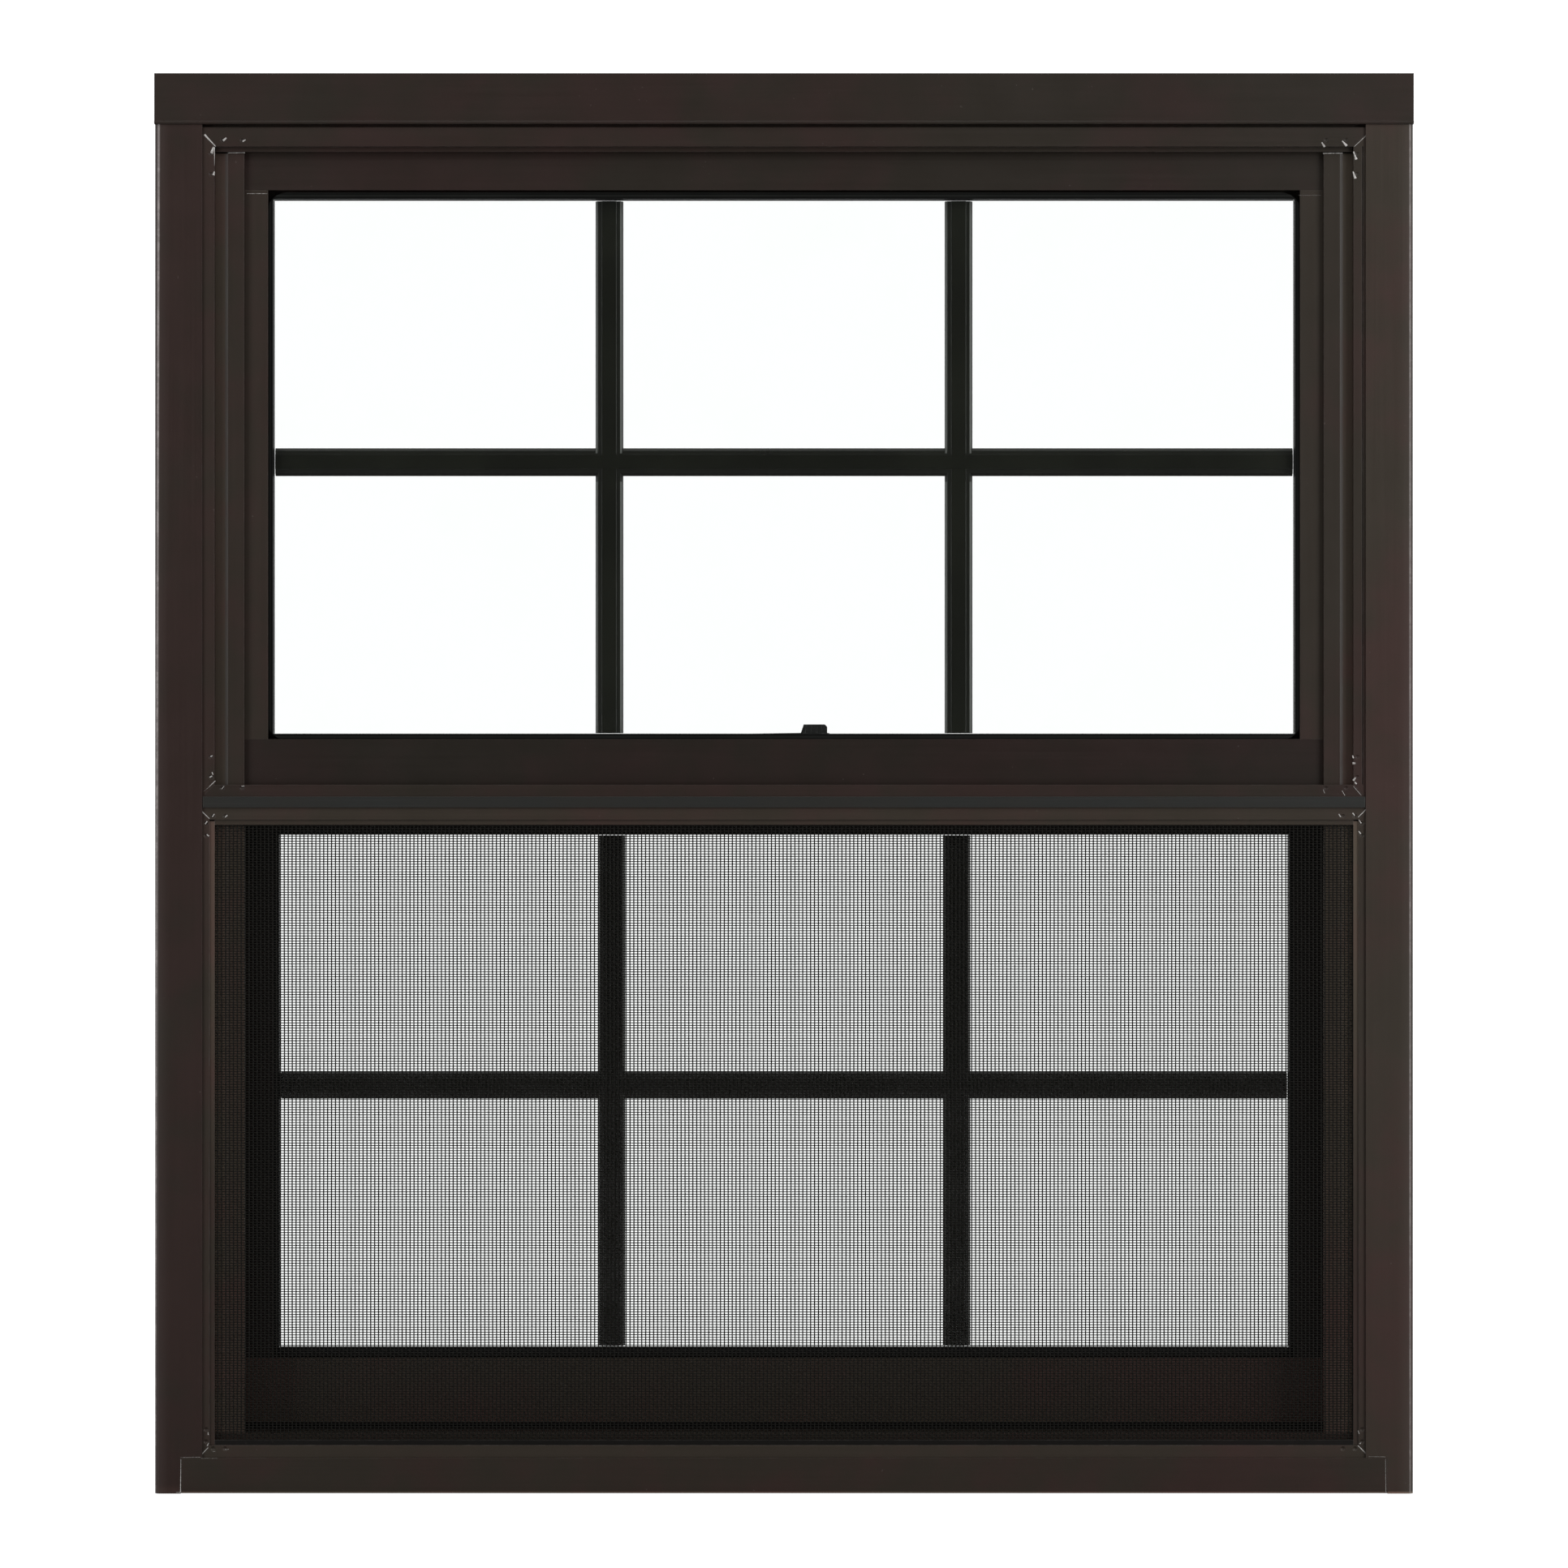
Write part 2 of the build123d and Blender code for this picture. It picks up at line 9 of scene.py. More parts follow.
import bmesh
import bpy
from bpy.props import FloatProperty, FloatVectorProperty, IntProperty, PointerProperty
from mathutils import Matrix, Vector


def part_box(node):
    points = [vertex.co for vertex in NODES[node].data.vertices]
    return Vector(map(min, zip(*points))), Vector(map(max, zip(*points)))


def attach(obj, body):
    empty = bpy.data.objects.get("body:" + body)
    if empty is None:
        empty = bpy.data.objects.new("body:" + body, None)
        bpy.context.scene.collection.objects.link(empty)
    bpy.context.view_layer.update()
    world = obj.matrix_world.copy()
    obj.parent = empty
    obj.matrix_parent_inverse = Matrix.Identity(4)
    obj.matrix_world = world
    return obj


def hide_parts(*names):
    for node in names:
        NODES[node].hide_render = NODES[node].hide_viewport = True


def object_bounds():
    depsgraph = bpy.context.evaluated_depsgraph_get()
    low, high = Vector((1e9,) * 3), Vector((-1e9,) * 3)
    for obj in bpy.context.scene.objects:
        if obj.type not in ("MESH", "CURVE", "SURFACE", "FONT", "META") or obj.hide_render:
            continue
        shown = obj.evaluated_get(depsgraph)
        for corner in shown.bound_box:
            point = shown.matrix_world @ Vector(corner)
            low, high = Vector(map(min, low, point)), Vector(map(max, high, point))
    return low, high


bl_info = {
    "name": "Bronze double hung window",
    "version": (1, 0, 0),
    "blender": (4, 5, 0),
    "location": "View3D > Sidebar > Window",
    "description": "Paints the window's members, weaves its screen and lights it on white",
    "category": "Object",
}

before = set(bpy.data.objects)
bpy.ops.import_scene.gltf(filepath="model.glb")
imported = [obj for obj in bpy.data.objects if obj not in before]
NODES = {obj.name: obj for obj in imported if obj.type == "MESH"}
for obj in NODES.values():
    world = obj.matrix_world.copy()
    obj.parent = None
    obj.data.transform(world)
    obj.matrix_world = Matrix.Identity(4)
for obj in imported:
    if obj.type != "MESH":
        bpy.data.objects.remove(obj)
CAD_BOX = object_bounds()
MM = 0.001

# Painted members: material, slot, axis of the extrusion, shade, warmth, edge lightening and nodes.
# The shade is partly the extrusions' own spread of colour and partly painted light and shade: the
# right jamb is painted lighter and the left jamb darker for the uneven softboxes, and the lower sash
# darker for the shade behind the mesh. The edge lightening is partly rubbed paint and partly a painted
# highlight.
MEMBERS = (
    ("bronze_left_jamb", "bronze_frame", "Z", 0.82, 0.75, 0.5, ("frame_left_jamb",)),
    ("bronze_right_jamb", "bronze_frame", "Z", 1.28, 0.40, 0.5, ("frame_right_jamb",)),
    ("bronze_head", "bronze_frame", "X", 0.76, 0.45, 0.4, ("frame_head",)),
    ("bronze_sill", "bronze_frame", "X", 1.00, 0.40, 0.5, ("frame_sill",)),
    ("bronze_stop", "bronze_stop", "Z", 0.94, 0.30, 0.8,
     ("left_sash_stop", "right_sash_stop")),
    ("bronze_ring_side", "bronze_ring", "Z", 1.00, 0.50, 0.7,
     ("upper_ring_left", "upper_ring_right")),
    ("bronze_ring_level", "bronze_ring", "X", 0.82, 0.45, 0.6,
     ("upper_ring_top", "upper_ring_bottom")),
    ("bronze_screen_side", "bronze_screen", "Z", 1.10, 0.40, 0.7,
     ("screen_left_bar", "screen_right_bar")),
    ("bronze_screen_level", "bronze_screen", "X", 1.25, 0.20, 0.6,
     ("screen_top_bar", "screen_bottom_bar")),
    ("bronze_upper_stile", "bronze_sash", "Z", 1.00, 0.25, 0.5,
     ("upper_sash_left_stile", "upper_sash_right_stile")),
    ("bronze_upper_rail", "bronze_sash", "X", 0.68, 0.45, 0.4, ("upper_sash_top_rail",)),
    ("bronze_meeting_rail", "bronze_sash", "X", 0.56, 0.45, 0.4, ("upper_sash_bottom_rail",)),
    ("bronze_lower_stile", "bronze_sash", "Z", 0.35, 0.50, 0.4,
     ("lower_sash_left_stile", "lower_sash_right_stile")),
    ("bronze_lower_rail", "bronze_sash", "X", 0.90, 0.45, 0.4, ("lower_sash_bottom_rail",)),
    ("bronze_lower_top", "bronze_sash", "X", 0.45, 0.45, 0.4, ("lower_sash_top_rail",)),
)
DRAW_STRETCH = 0.012
# Painted highlight line along a jamb's rounded outer edge, where it catches a softbox: distance from
# the middle at the foot, its drift with height, half width and share
PAINTED_EDGE_HIGHLIGHTS = {
    "bronze_left_jamb": (304.75 * MM, -0.0031, 0.85 * MM, 1.0),
    "bronze_right_jamb": (303.20 * MM, 0.0, 0.55 * MM, 0.65),
}
# Painted sheen that brightens a jamb's flange towards its rounded outer edge
PAINTED_SHEEN_BAND = (296.5 * MM, 304.5 * MM)
PAINTED_SHEEN_SHARE = 0.05
# Painted light and shade on strips of a member: painted highlights on the bottom edges, painted light
# on the stops, the sill rib and the lower rail's front behind the mesh, on the stops' low strips and
# on the screen's side bars towards the top, and painted shade on the lip of the screen's bottom bar.
# Columns: from and to as distances from the middle, then as heights, the softness of the upper and
# lower ends, the depth they reach to, and the gain
EVERYWHERE = (-1.0, 1.0)
THROUGH = 1.0
BOTTOM_EDGE = (-9.5 * MM, -7.8 * MM, 0.4 * MM)
PAINTED_LIGHT_AND_SHADE = {
    "bronze_stop": (
        (271.3 * MM, 300.0 * MM, *EVERYWHERE, 0.1 * MM, THROUGH, 0.75),
        (200.0 * MM, 300.0 * MM, -1.0, 319.0 * MM, 2.0 * MM, THROUGH, 2.9),
    ),
    "bronze_sill": (
        (*EVERYWHERE, *BOTTOM_EDGE, THROUGH, 6.0),
        (*EVERYWHERE, 9.0 * MM, 20.0 * MM, 0.2 * MM, 40.0 * MM, 0.7),
    ),
    "bronze_left_jamb": ((*EVERYWHERE, -9.5 * MM, -5.5 * MM, 2.0 * MM, THROUGH, 0.5),),
    "bronze_right_jamb": ((*EVERYWHERE, *BOTTOM_EDGE, THROUGH, 4.0),),
    "bronze_screen_side": ((270.0 * MM, 278.4 * MM, 210.0 * MM, 1.0, 110.0 * MM, THROUGH, 1.6),),
    "bronze_screen_level": ((-1.0, 279.0 * MM, 14.6 * MM, 18.2 * MM, 0.15 * MM, THROUGH, -0.9),),
    "bronze_lower_rail": ((*EVERYWHERE, *EVERYWHERE, 0.1 * MM, 29.5 * MM, 2.1),),
}
STRIP_EDGE = 0.1 * MM
# Upright grid bars: distance of their middles from the window's middle, then a painted highlight line
# and a faint painted highlight line on each half, where the bars' bevels catch the light, both a
# little to the left, and the heights where the cross bars pass
BAR_MIDDLE = 85.2 * MM
BAR_LINE_SHIFT = 0.22 * MM
BAR_HIGHLIGHT_LINE = (5.5 * MM, 6.4 * MM)
BAR_HIGHLIGHT_SHARE = 0.85
BAR_FAINT_HIGHLIGHT_LINE = (3.4 * MM, 3.8 * MM)
BAR_FAINT_HIGHLIGHT_SHARE = 0.16
CROSS_BARS = ((482.4 * MM, 496.2 * MM), (182.0 * MM, 195.8 * MM))
# Painted highlight lines on the ribs of the glazing channel, measured in from its outer edge
OUTER_RIB = (0.0, 0.4 * MM)
INNER_RIB = (1.3 * MM, 1.9 * MM)
RIB_HIGHLIGHT_SHARE = 0.07
# How strongly each finish reflects
PAINT_SHINE = 0.30
STRIP_SHINE = 0.40
PLASTIC_SHINE = 0.45
VINYL_SHINE = 0.24
YARN_SHINE = 0.12
GLASS_SHINE = 0.05
# Softboxes: name, place, width and height, and the studio setting that holds the radiance
SOFTBOXES = (
    ("left_softbox", (-1.55, -1.15, 0.62), (0.9, 1.6), "left_light"),
    ("right_softbox", (1.45, -1.15, 0.62), (0.9, 1.6), "right_light"),
    ("top_softbox", (0.0, -1.0, 1.75), (1.6, 0.8), "top_light"),
)
SENSOR_WIDTH = 36.0
FLOOR_REACH = 3.0
FLOOR_GREY = (0.35, 0.35, 0.35, 1.0)
WHITE = (1.0, 1.0, 1.0, 1.0)


class BronzeFinish(bpy.types.PropertyGroup):
    """Colours and relief of the painted and moulded surfaces."""

    warm: FloatVectorProperty(
        name="Warm bronze",
        description="Reddish tone of the baked paint",
        subtype="COLOR",
        default=(0.0405, 0.0222, 0.0185),
    )
    olive: FloatVectorProperty(
        name="Olive bronze",
        description="Greener tone that the paint drifts to in places",
        subtype="COLOR",
        default=(0.0335, 0.0262, 0.0192),
    )
    # Used for rubbed paint, specks and dust, and for the painted highlight that lightens sharp edges
    wear_dust_and_edge_highlight: FloatVectorProperty(
        name="Worn edge",
        description="Colour of paint rubbed thin along edges and in specks",
        subtype="COLOR",
        default=(0.17, 0.145, 0.135),
    )
    # Painted highlight: colour of the lit line along a jamb's rounded edge
    painted_edge_highlight: FloatVectorProperty(
        name="Glint",
        description="Colour of the polished line along a flange edge",
        subtype="COLOR",
        default=(0.36, 0.32, 0.31),
    )
    graphite: FloatVectorProperty(
        name="Graphite",
        description="Bluish grey of the cover strip between ring and screen",
        subtype="COLOR",
        default=(0.0198, 0.0192, 0.0166),
    )
    vinyl: FloatVectorProperty(
        name="Black vinyl",
        description="Glazing channel and rubber cord",
        subtype="COLOR",
        default=(0.0030, 0.0034, 0.0028),
    )
    # Painted highlight: colour of the lit lines along the grid bars' bevels and the channel's ribs
    painted_line_highlight: FloatVectorProperty(
        name="Bar line",
        description="Light lines along the upright grid bars and ribs of the glazing channel",
        subtype="COLOR",
        default=(0.145, 0.150, 0.140),
    )
    bar_green: FloatVectorProperty(
        name="Bar green",
        description="Greenish black of the grid bars",
        subtype="COLOR",
        default=(0.0068, 0.0078, 0.0038),
    )
    yarn: FloatVectorProperty(
        name="Yarn",
        description="Coated yarn of the insect mesh",
        subtype="COLOR",
        default=(0.0064, 0.0059, 0.0050),
    )
    # Also the colour of the painted highlights beside the corner dents
    bare_metal_and_highlight: FloatVectorProperty(
        name="Bare metal",
        description="Cut aluminium at mitres and burred ends",
        subtype="COLOR",
        default=(0.62, 0.60, 0.58),
    )
    edge_round: FloatProperty(
        name="Edge round",
        description="Radius that the paint gives to sharp edges",
        default=0.35 * MM,
        min=0.0,
        precision=5,
        unit="LENGTH",
    )
    gloss: FloatProperty(
        name="Roughness",
        description="Roughness of the baked paint",
        default=0.42,
        min=0.0,
        max=1.0,
        subtype="FACTOR",
    )


class ScreenWeave(bpy.types.PropertyGroup):
    """The insect mesh of the half screen."""

    upright_pitch: FloatProperty(
        name="Upright pitch",
        description="Distance between upright yarns",
        default=1.904 * MM,
        precision=6,
        unit="LENGTH",
    )
    cross_pitch: FloatProperty(
        name="Cross pitch",
        description="Distance between cross yarns",
        default=1.240 * MM,
        precision=6,
        unit="LENGTH",
    )
    upright_width: FloatProperty(
        name="Upright width",
        description="Width of an upright yarn",
        default=0.60 * MM,
        precision=6,
        unit="LENGTH",
    )
    cross_width: FloatProperty(
        name="Cross width",
        description="Width of a cross yarn",
        default=0.46 * MM,
        precision=6,
        unit="LENGTH",
    )
    crown: FloatProperty(
        name="Crown",
        description="How far the cross yarns stand in front of the upright ones",
        default=0.12 * MM,
        precision=6,
        unit="LENGTH",
    )
    waver: FloatProperty(
        name="Waver",
        description="How far yarns stray from straight",
        default=0.5 * MM,
        precision=6,
        unit="LENGTH",
    )
    seed: IntProperty(
        name="Seed",
        description="Chooses the pattern of the yarns' waver",
        default=7,
    )


class RawEdges(bpy.types.PropertyGroup):
    """Bright ridges at mitres, joints and ends, partly cut metal and partly painted highlight, and
    painted highlights beside the corner dents.
    """

    height: FloatProperty(
        name="Height",
        description="How far a raw edge stands out of the paint",
        default=0.12 * MM,
        precision=6,
        unit="LENGTH",
    )
    step: FloatProperty(
        name="Step",
        description="Distance between the chips along a raw edge",
        default=0.45 * MM,
        precision=6,
        unit="LENGTH",
    )
    seed: IntProperty(
        name="Seed",
        description="Chooses the chips",
        default=11,
    )


class Studio(bpy.types.PropertyGroup):
    """Camera, lights and background."""

    camera_distance: FloatProperty(
        name="Camera distance",
        description="From the camera to the flange's face",
        default=2.0,
        unit="LENGTH",
    )
    frame_width: FloatProperty(
        name="Frame width",
        description="Width that the picture takes in at the flange's face",
        default=0.7587,
        unit="LENGTH",
    )
    camera_height: FloatProperty(
        name="Camera height",
        description="Height of the camera above the part's origin",
        default=0.33495,
        unit="LENGTH",
    )
    left_light: FloatProperty(
        name="Left light",
        description="Radiance of the softbox on the left",
        default=3.2,
    )
    right_light: FloatProperty(
        name="Right light",
        description="Radiance of the softbox on the right",
        default=4.45,
    )
    top_light: FloatProperty(
        name="Top light",
        description="Radiance of the softbox overhead",
        default=2.0,
    )
    backdrop: FloatProperty(
        name="Backdrop",
        description="Brightness of the white behind the window",
        default=1.12,
    )
    room: FloatProperty(
        name="Room",
        description="Brightness of the dim room in front of the window",
        default=0.06,
    )


def fill(tree, node, settings, inputs):
    """Set a new node's settings first, then its sockets by value or by link."""
    for name, value in settings.items():
        setattr(node, name, value)
    for key, value in inputs.items():
        if isinstance(value, Signal):
            value = value.socket
        if isinstance(value, bpy.types.NodeSocket):
            tree.links.new(value, node.inputs[key])
        else:
            node.inputs[key].default_value = value
    return node


class Signal:
    """A socket of a shader tree. Arithmetic on it adds Math nodes, and node() adds any other."""

    def __init__(self, tree, socket=None):
        self.tree = tree
        self.socket = socket

    def node(self, kind, settings=None, inputs=None, output=0):
        """Add a node by its type, with its settings and with values or links for its sockets."""
        made = fill(self.tree, self.tree.nodes.new(kind), settings or {}, inputs or {})
        return Signal(self.tree, made.outputs[output] if made.outputs else None)

    def math(self, operation, *values):
        """A Math node on these values."""
        return self.node("ShaderNodeMath", {"operation": operation}, dict(enumerate(values)))

    def __add__(self, other):
        return self.math("ADD", self, other)

    def __radd__(self, other):
        return self.math("ADD", other, self)

    def __sub__(self, other):
        return self.math("SUBTRACT", self, other)

    def __rsub__(self, other):
        return self.math("SUBTRACT", other, self)

    def __mul__(self, other):
        return self.math("MULTIPLY", self, other)

    def __rmul__(self, other):
        return self.math("MULTIPLY", other, self)

    def band(self, low, high):
        """0 below low, 1 above high, and a smooth rise between."""
        settings = {"interpolation_type": "SMOOTHSTEP"}
        inputs = {"Value": self, "From Min": low, "From Max": high}
        return self.node("ShaderNodeMapRange", settings, inputs)

    def within(self, low, high, soft):
        """1 between low and high and 0 outside, with soft ends."""
        return self.band(low - soft, low + soft) * (1 - self.band(high - soft, high + soft))

    def mix(self, first, second):
        """A colour between two, with this value as the share of the second."""
        sockets = {0: self, 6: colour_of(first), 7: colour_of(second)}
        return self.node("ShaderNodeMix", {"data_type": "RGBA"}, sockets, output=2)

    def axis(self, index):
        """One coordinate of these: 0 across, 1 into the wall, 2 up."""
        return self.node("ShaderNodeSeparateXYZ", {}, {"Vector": self}, output=index)

    def noise(self, scale, detail=2.0, roughness=0.5, stretch=(1, 1, 1)):
        """A noise pattern on these coordinates, drawn out along an axis by a small stretch."""
        place = self.node("ShaderNodeMapping", {}, {"Vector": self, "Scale": stretch})
        inputs = {"Vector": place, "Scale": scale, "Detail": detail, "Roughness": roughness}
        return self.node("ShaderNodeTexNoise", {}, inputs)


def colour_of(value):
    """A colour for a socket: a link stays as it is, three numbers get an alpha."""
    return value if isinstance(value, Signal) else (*value, 1.0)


def new_material(name):
    """An empty node material; returns it with the object coordinates as a first signal."""
    material = bpy.data.materials.new(name)
    material.use_nodes = True
    tree = material.node_tree
    tree.nodes.clear()
    coordinates = Signal(tree).node("ShaderNodeTexCoord", output=3)
    return material, coordinates


def finish_surface(start, shader):
    """Close a material with the shader it shows."""
    start.node("ShaderNodeOutputMaterial", {}, {"Surface": shader})


def edge_signals(start, radius):
    """The rounded normal near edges, and a mask that is 1 on sharp edges."""
    rounded = start.node("ShaderNodeBevel", {"samples": 6}, {"Radius": radius})
    flat = start.node("ShaderNodeNewGeometry", output=1)
    facing = start.node(
        "ShaderNodeVectorMath", {"operation": "DOT_PRODUCT"}, {0: rounded, 1: flat}, output=1
    )
    return rounded, (1 - facing).band(0.02, 0.30)


def stretch_along(axis):
    """Mapping scale that draws a pattern out along one axis."""
    return tuple(DRAW_STRETCH if letter == axis else 1.0 for letter in "XYZ")


def bronze_paint(name, axis, shade, warmth, edge_rub_and_highlight):
    """Baked bronze paint along an extrusion: drifting tone, draw lines, specks, edges lightened partly
    as rubbed paint and partly as painted highlight, and listed strips of painted light, shade and
    highlight.
    """
    look = bpy.context.scene.window_finish
    material, at = new_material(name)
    rounded, edge = edge_signals(at, look.edge_round)
    drift = at.noise(7.0, 3.0, 0.55)
    blotch = at.noise(38.0, 4.0, 0.6)
    draw = at.noise(900.0, 2.0, 0.6, stretch_along(axis))
    grain = at.noise(2600.0, 2.0)
    middle = 0.62 - 0.24 * warmth
    tone = (drift * 0.65 + blotch * 0.35).band(middle - 0.10, middle + 0.10)
    # The member's shade, which carries painted light and shade, scales both tones
    colour = tone.mix(tuple(shade * c for c in look.olive), tuple(shade * c for c in look.warm))
    streak = (draw * 0.5 + blotch * 0.5).band(0.30, 0.70)
    dim = at.node("ShaderNodeMix", {"data_type": "RGBA", "blend_type": "MULTIPLY"}, {
        0: 0.35, 6: colour, 7: streak.mix((0.78, 0.78, 0.78), (1.0, 1.0, 1.0)),
    }, output=2)
    out = at.axis(0).math("ABSOLUTE", at.axis(0))
    up = at.axis(2)
    # Painted light and shade: listed strips of the member are scaled lighter or darker
    for near, far, low, high, soft, deepest, gain in PAINTED_LIGHT_AND_SHADE.get(name, ()):
        strip = out.within(near, far, STRIP_EDGE) * up.within(low, high, soft)
        strip = strip * (1 - at.axis(1).band(deepest - STRIP_EDGE, deepest + STRIP_EDGE))
        dim = at.node(
            "ShaderNodeVectorMath", {"operation": "SCALE"}, {0: dim, "Scale": 1 + strip * gain}
        )
    specks = at.noise(520.0, 1.0).band(0.775, 0.80) * blotch.band(0.50, 0.62)
    rub = at.noise(160.0, 3.0, 0.7).band(0.42, 0.66)
    # Lighter edges, partly rubbed paint and partly a painted highlight on sharp edges; the specks are
    # real
    wear_dust_and_edge_highlight = edge * (0.25 + rub * 0.75) * edge_rub_and_highlight + specks * 0.28
    colour = wear_dust_and_edge_highlight.mix(dim, look.wear_dust_and_edge_highlight)
    # Painted highlight line along a jamb's rounded outer edge, with a painted sheen towards it
    if name in PAINTED_EDGE_HIGHLIGHTS:
        foot, drift_up, half, share = PAINTED_EDGE_HIGHLIGHTS[name]
        off = out - up * drift_up - foot
        line = 1 - off.math("ABSOLUTE", off).band(0.25 * half, half)
        painted_sheen = out.band(*PAINTED_SHEEN_BAND) * PAINTED_SHEEN_SHARE
        colour = (line * (0.55 + rub * 0.45) * share + painted_sheen).mix(colour, look.painted_edge_highlight)
    rough = look.gloss + (blotch - 0.5) * 0.14 + (draw - 0.5) * 0.10
    bump = at.node("ShaderNodeBump", {}, {
        "Strength": 0.16, "Distance": 0.05 * MM, "Height": draw * 0.6 + grain * 0.4,
        "Normal": rounded,
    })
    shader = at.node("ShaderNodeBsdfPrincipled", {}, {
        "Base Color": colour, "Roughness": rough, "Normal": bump, "Specular IOR Level": PAINT_SHINE,
    })
    finish_surface(at, shader)
    return material


def graphite_strip(name):
    """The bluish cover strip: finer, cooler and flatter than the bronze, with draw lines along it."""
    look = bpy.context.scene.window_finish
    material, at = new_material(name)
    rounded, edge = edge_signals(at, look.edge_round)
    draw = at.noise(1100.0, 2.0, 0.6, stretch_along("X"))
    cloud = at.noise(16.0, 3.0)
    cool = tuple(c * k for c, k in zip(look.graphite, (0.86, 0.95, 1.02)))
    colour = cloud.band(0.38, 0.62).mix(look.graphite, cool)
    # Lighter edges, partly rubbed paint and partly a painted highlight on sharp edges
    colour = (edge * 0.4 + draw.band(0.55, 0.75) * 0.03).mix(colour, look.wear_dust_and_edge_highlight)
    bump = at.node("ShaderNodeBump", {}, {
        "Strength": 0.14, "Distance": 0.05 * MM, "Height": draw, "Normal": rounded,
    })
    rough = 0.46 + (cloud - 0.5) * 0.12
    shader = at.node("ShaderNodeBsdfPrincipled", {}, {
        "Base Color": colour, "Roughness": rough, "Normal": bump, "Specular IOR Level": STRIP_SHINE,
    })
    finish_surface(at, shader)
    return material


def bar_highlight_lines(at):
    """A mask of the painted highlight lines along the upright grid bars' bevels, broken where a cross
    bar passes.
    """
    across = at.axis(0)
    outward = across.math("ABSOLUTE", across) - BAR_MIDDLE
    to_the_right = outward * across.math("SIGN", across) + BAR_LINE_SHIFT
    side = to_the_right.math("ABSOLUTE", to_the_right)
    light = side.within(*BAR_HIGHLIGHT_LINE, STRIP_EDGE)
    faint = side.within(*BAR_FAINT_HIGHLIGHT_LINE, STRIP_EDGE)
    lines = light * BAR_HIGHLIGHT_SHARE + faint * BAR_FAINT_HIGHLIGHT_SHARE
    for low, high in CROSS_BARS:
        lines = lines * (1 - at.axis(2).within(low, high, STRIP_EDGE))
    return lines


def gasket_rib_highlights(node):
    """A function that masks the painted highlight lines on the two ribs round a glazing channel."""
    low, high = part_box(node)
    half_width = 0.5 * (high[0] - low[0])
    half_height = 0.5 * (high[2] - low[2])
    middle = 0.5 * (low[2] + high[2])

    def ribs(at):
        across = at.axis(0)
        up = at.axis(2) - middle
        sideways = half_width - across.math("ABSOLUTE", across)
        inward = sideways.math("MINIMUM", sideways, half_height - up.math("ABSOLUTE", up))
        outer = inward.within(*OUTER_RIB, STRIP_EDGE)
        inner = inward.within(*INNER_RIB, STRIP_EDGE)
        return (outer + inner) * RIB_HIGHLIGHT_SHARE

    return ribs


def moulded(
    name, colour, roughness, grain_scale, grain_height, dust=0.03, shine=PLASTIC_SHINE, lines=None
):
    """Moulded vinyl or plastic: fine grain, slow shifts of gloss, dusty edges, and any painted
    highlight lines.
    """
    look = bpy.context.scene.window_finish
    material, at = new_material(name)
    rounded, edge = edge_signals(at, 0.6 * look.edge_round)
    grain = at.noise(grain_scale, 2.0, 0.6)
    cloud = at.noise(24.0, 3.0)
    deep = tuple(0.72 * c for c in colour)
    tone = cloud.band(0.36, 0.64).mix(deep, tuple(colour))
    dusty = edge * dust + grain.band(0.68, 0.80) * (0.5 * dust)
    tone = dusty.mix(tone, look.wear_dust_and_edge_highlight)
    # Painted highlight lines
    if lines:
        tone = lines(at).mix(tone, look.painted_line_highlight)
    bump = at.node("ShaderNodeBump", {}, {
        "Strength": 0.25, "Distance": grain_height, "Height": grain, "Normal": rounded,
    })
    shader = at.node("ShaderNodeBsdfPrincipled", {}, {
        "Base Color": tone, "Roughness": roughness + (cloud - 0.5) * 0.12, "Normal": bump,
        "Specular IOR Level": shine,
    })
    finish_surface(at, shader)
    return material


def clear_glass(name):
    """A clean pane: what is behind it shows through, with a film of dust and a plain reflection."""
    material, at = new_material(name)
    film = at.noise(14.0, 5.0, 0.65).band(0.45, 0.85)
    through = at.node("ShaderNodeBsdfTransparent", {}, {"Color": (0.985, 0.995, 0.990, 1.0)})
    mirror = at.node("ShaderNodeBsdfAnisotropic", {}, {"Color": WHITE, "Roughness": 0.03})
    share = GLASS_SHINE + film * 0.008
    shader = at.node("ShaderNodeMixShader", {}, {0: share, 1: through, 2: mirror})
    finish_surface(at, shader)
    return material


def coated_yarn(name):
    """Dark coated yarn with a painted highlight on its crowns, where it passes over a crossing yarn.
    """
    look = bpy.context.scene.window_finish
    weave = bpy.context.scene.window_weave
    material, at = new_material(name)
    across = at.math("SINE", at.axis(0) * (math.pi / weave.upright_pitch))
    rise = at.math("SINE", at.axis(2) * (math.pi / weave.cross_pitch))
    crown = (across * rise).band(-0.4, 0.8)
    fuzz = at.noise(3200.0, 2.0)
    # Painted highlight: the crowns are coloured lighter
    light = tuple(2.4 * c for c in look.yarn)
    colour = (crown * 0.7 + fuzz * 0.3).mix(tuple(look.yarn), light)
    bump = at.node("ShaderNodeBump", {}, {
        "Strength": 0.3, "Distance": 0.03 * MM, "Height": crown * 0.7 + fuzz * 0.3,
    })
    shader = at.node("ShaderNodeBsdfPrincipled", {}, {
        "Base Color": colour, "Roughness": 0.72 - crown * 0.12, "Normal": bump,
        "Specular IOR Level": YARN_SHINE,
    })
    finish_surface(at, shader)
    return material


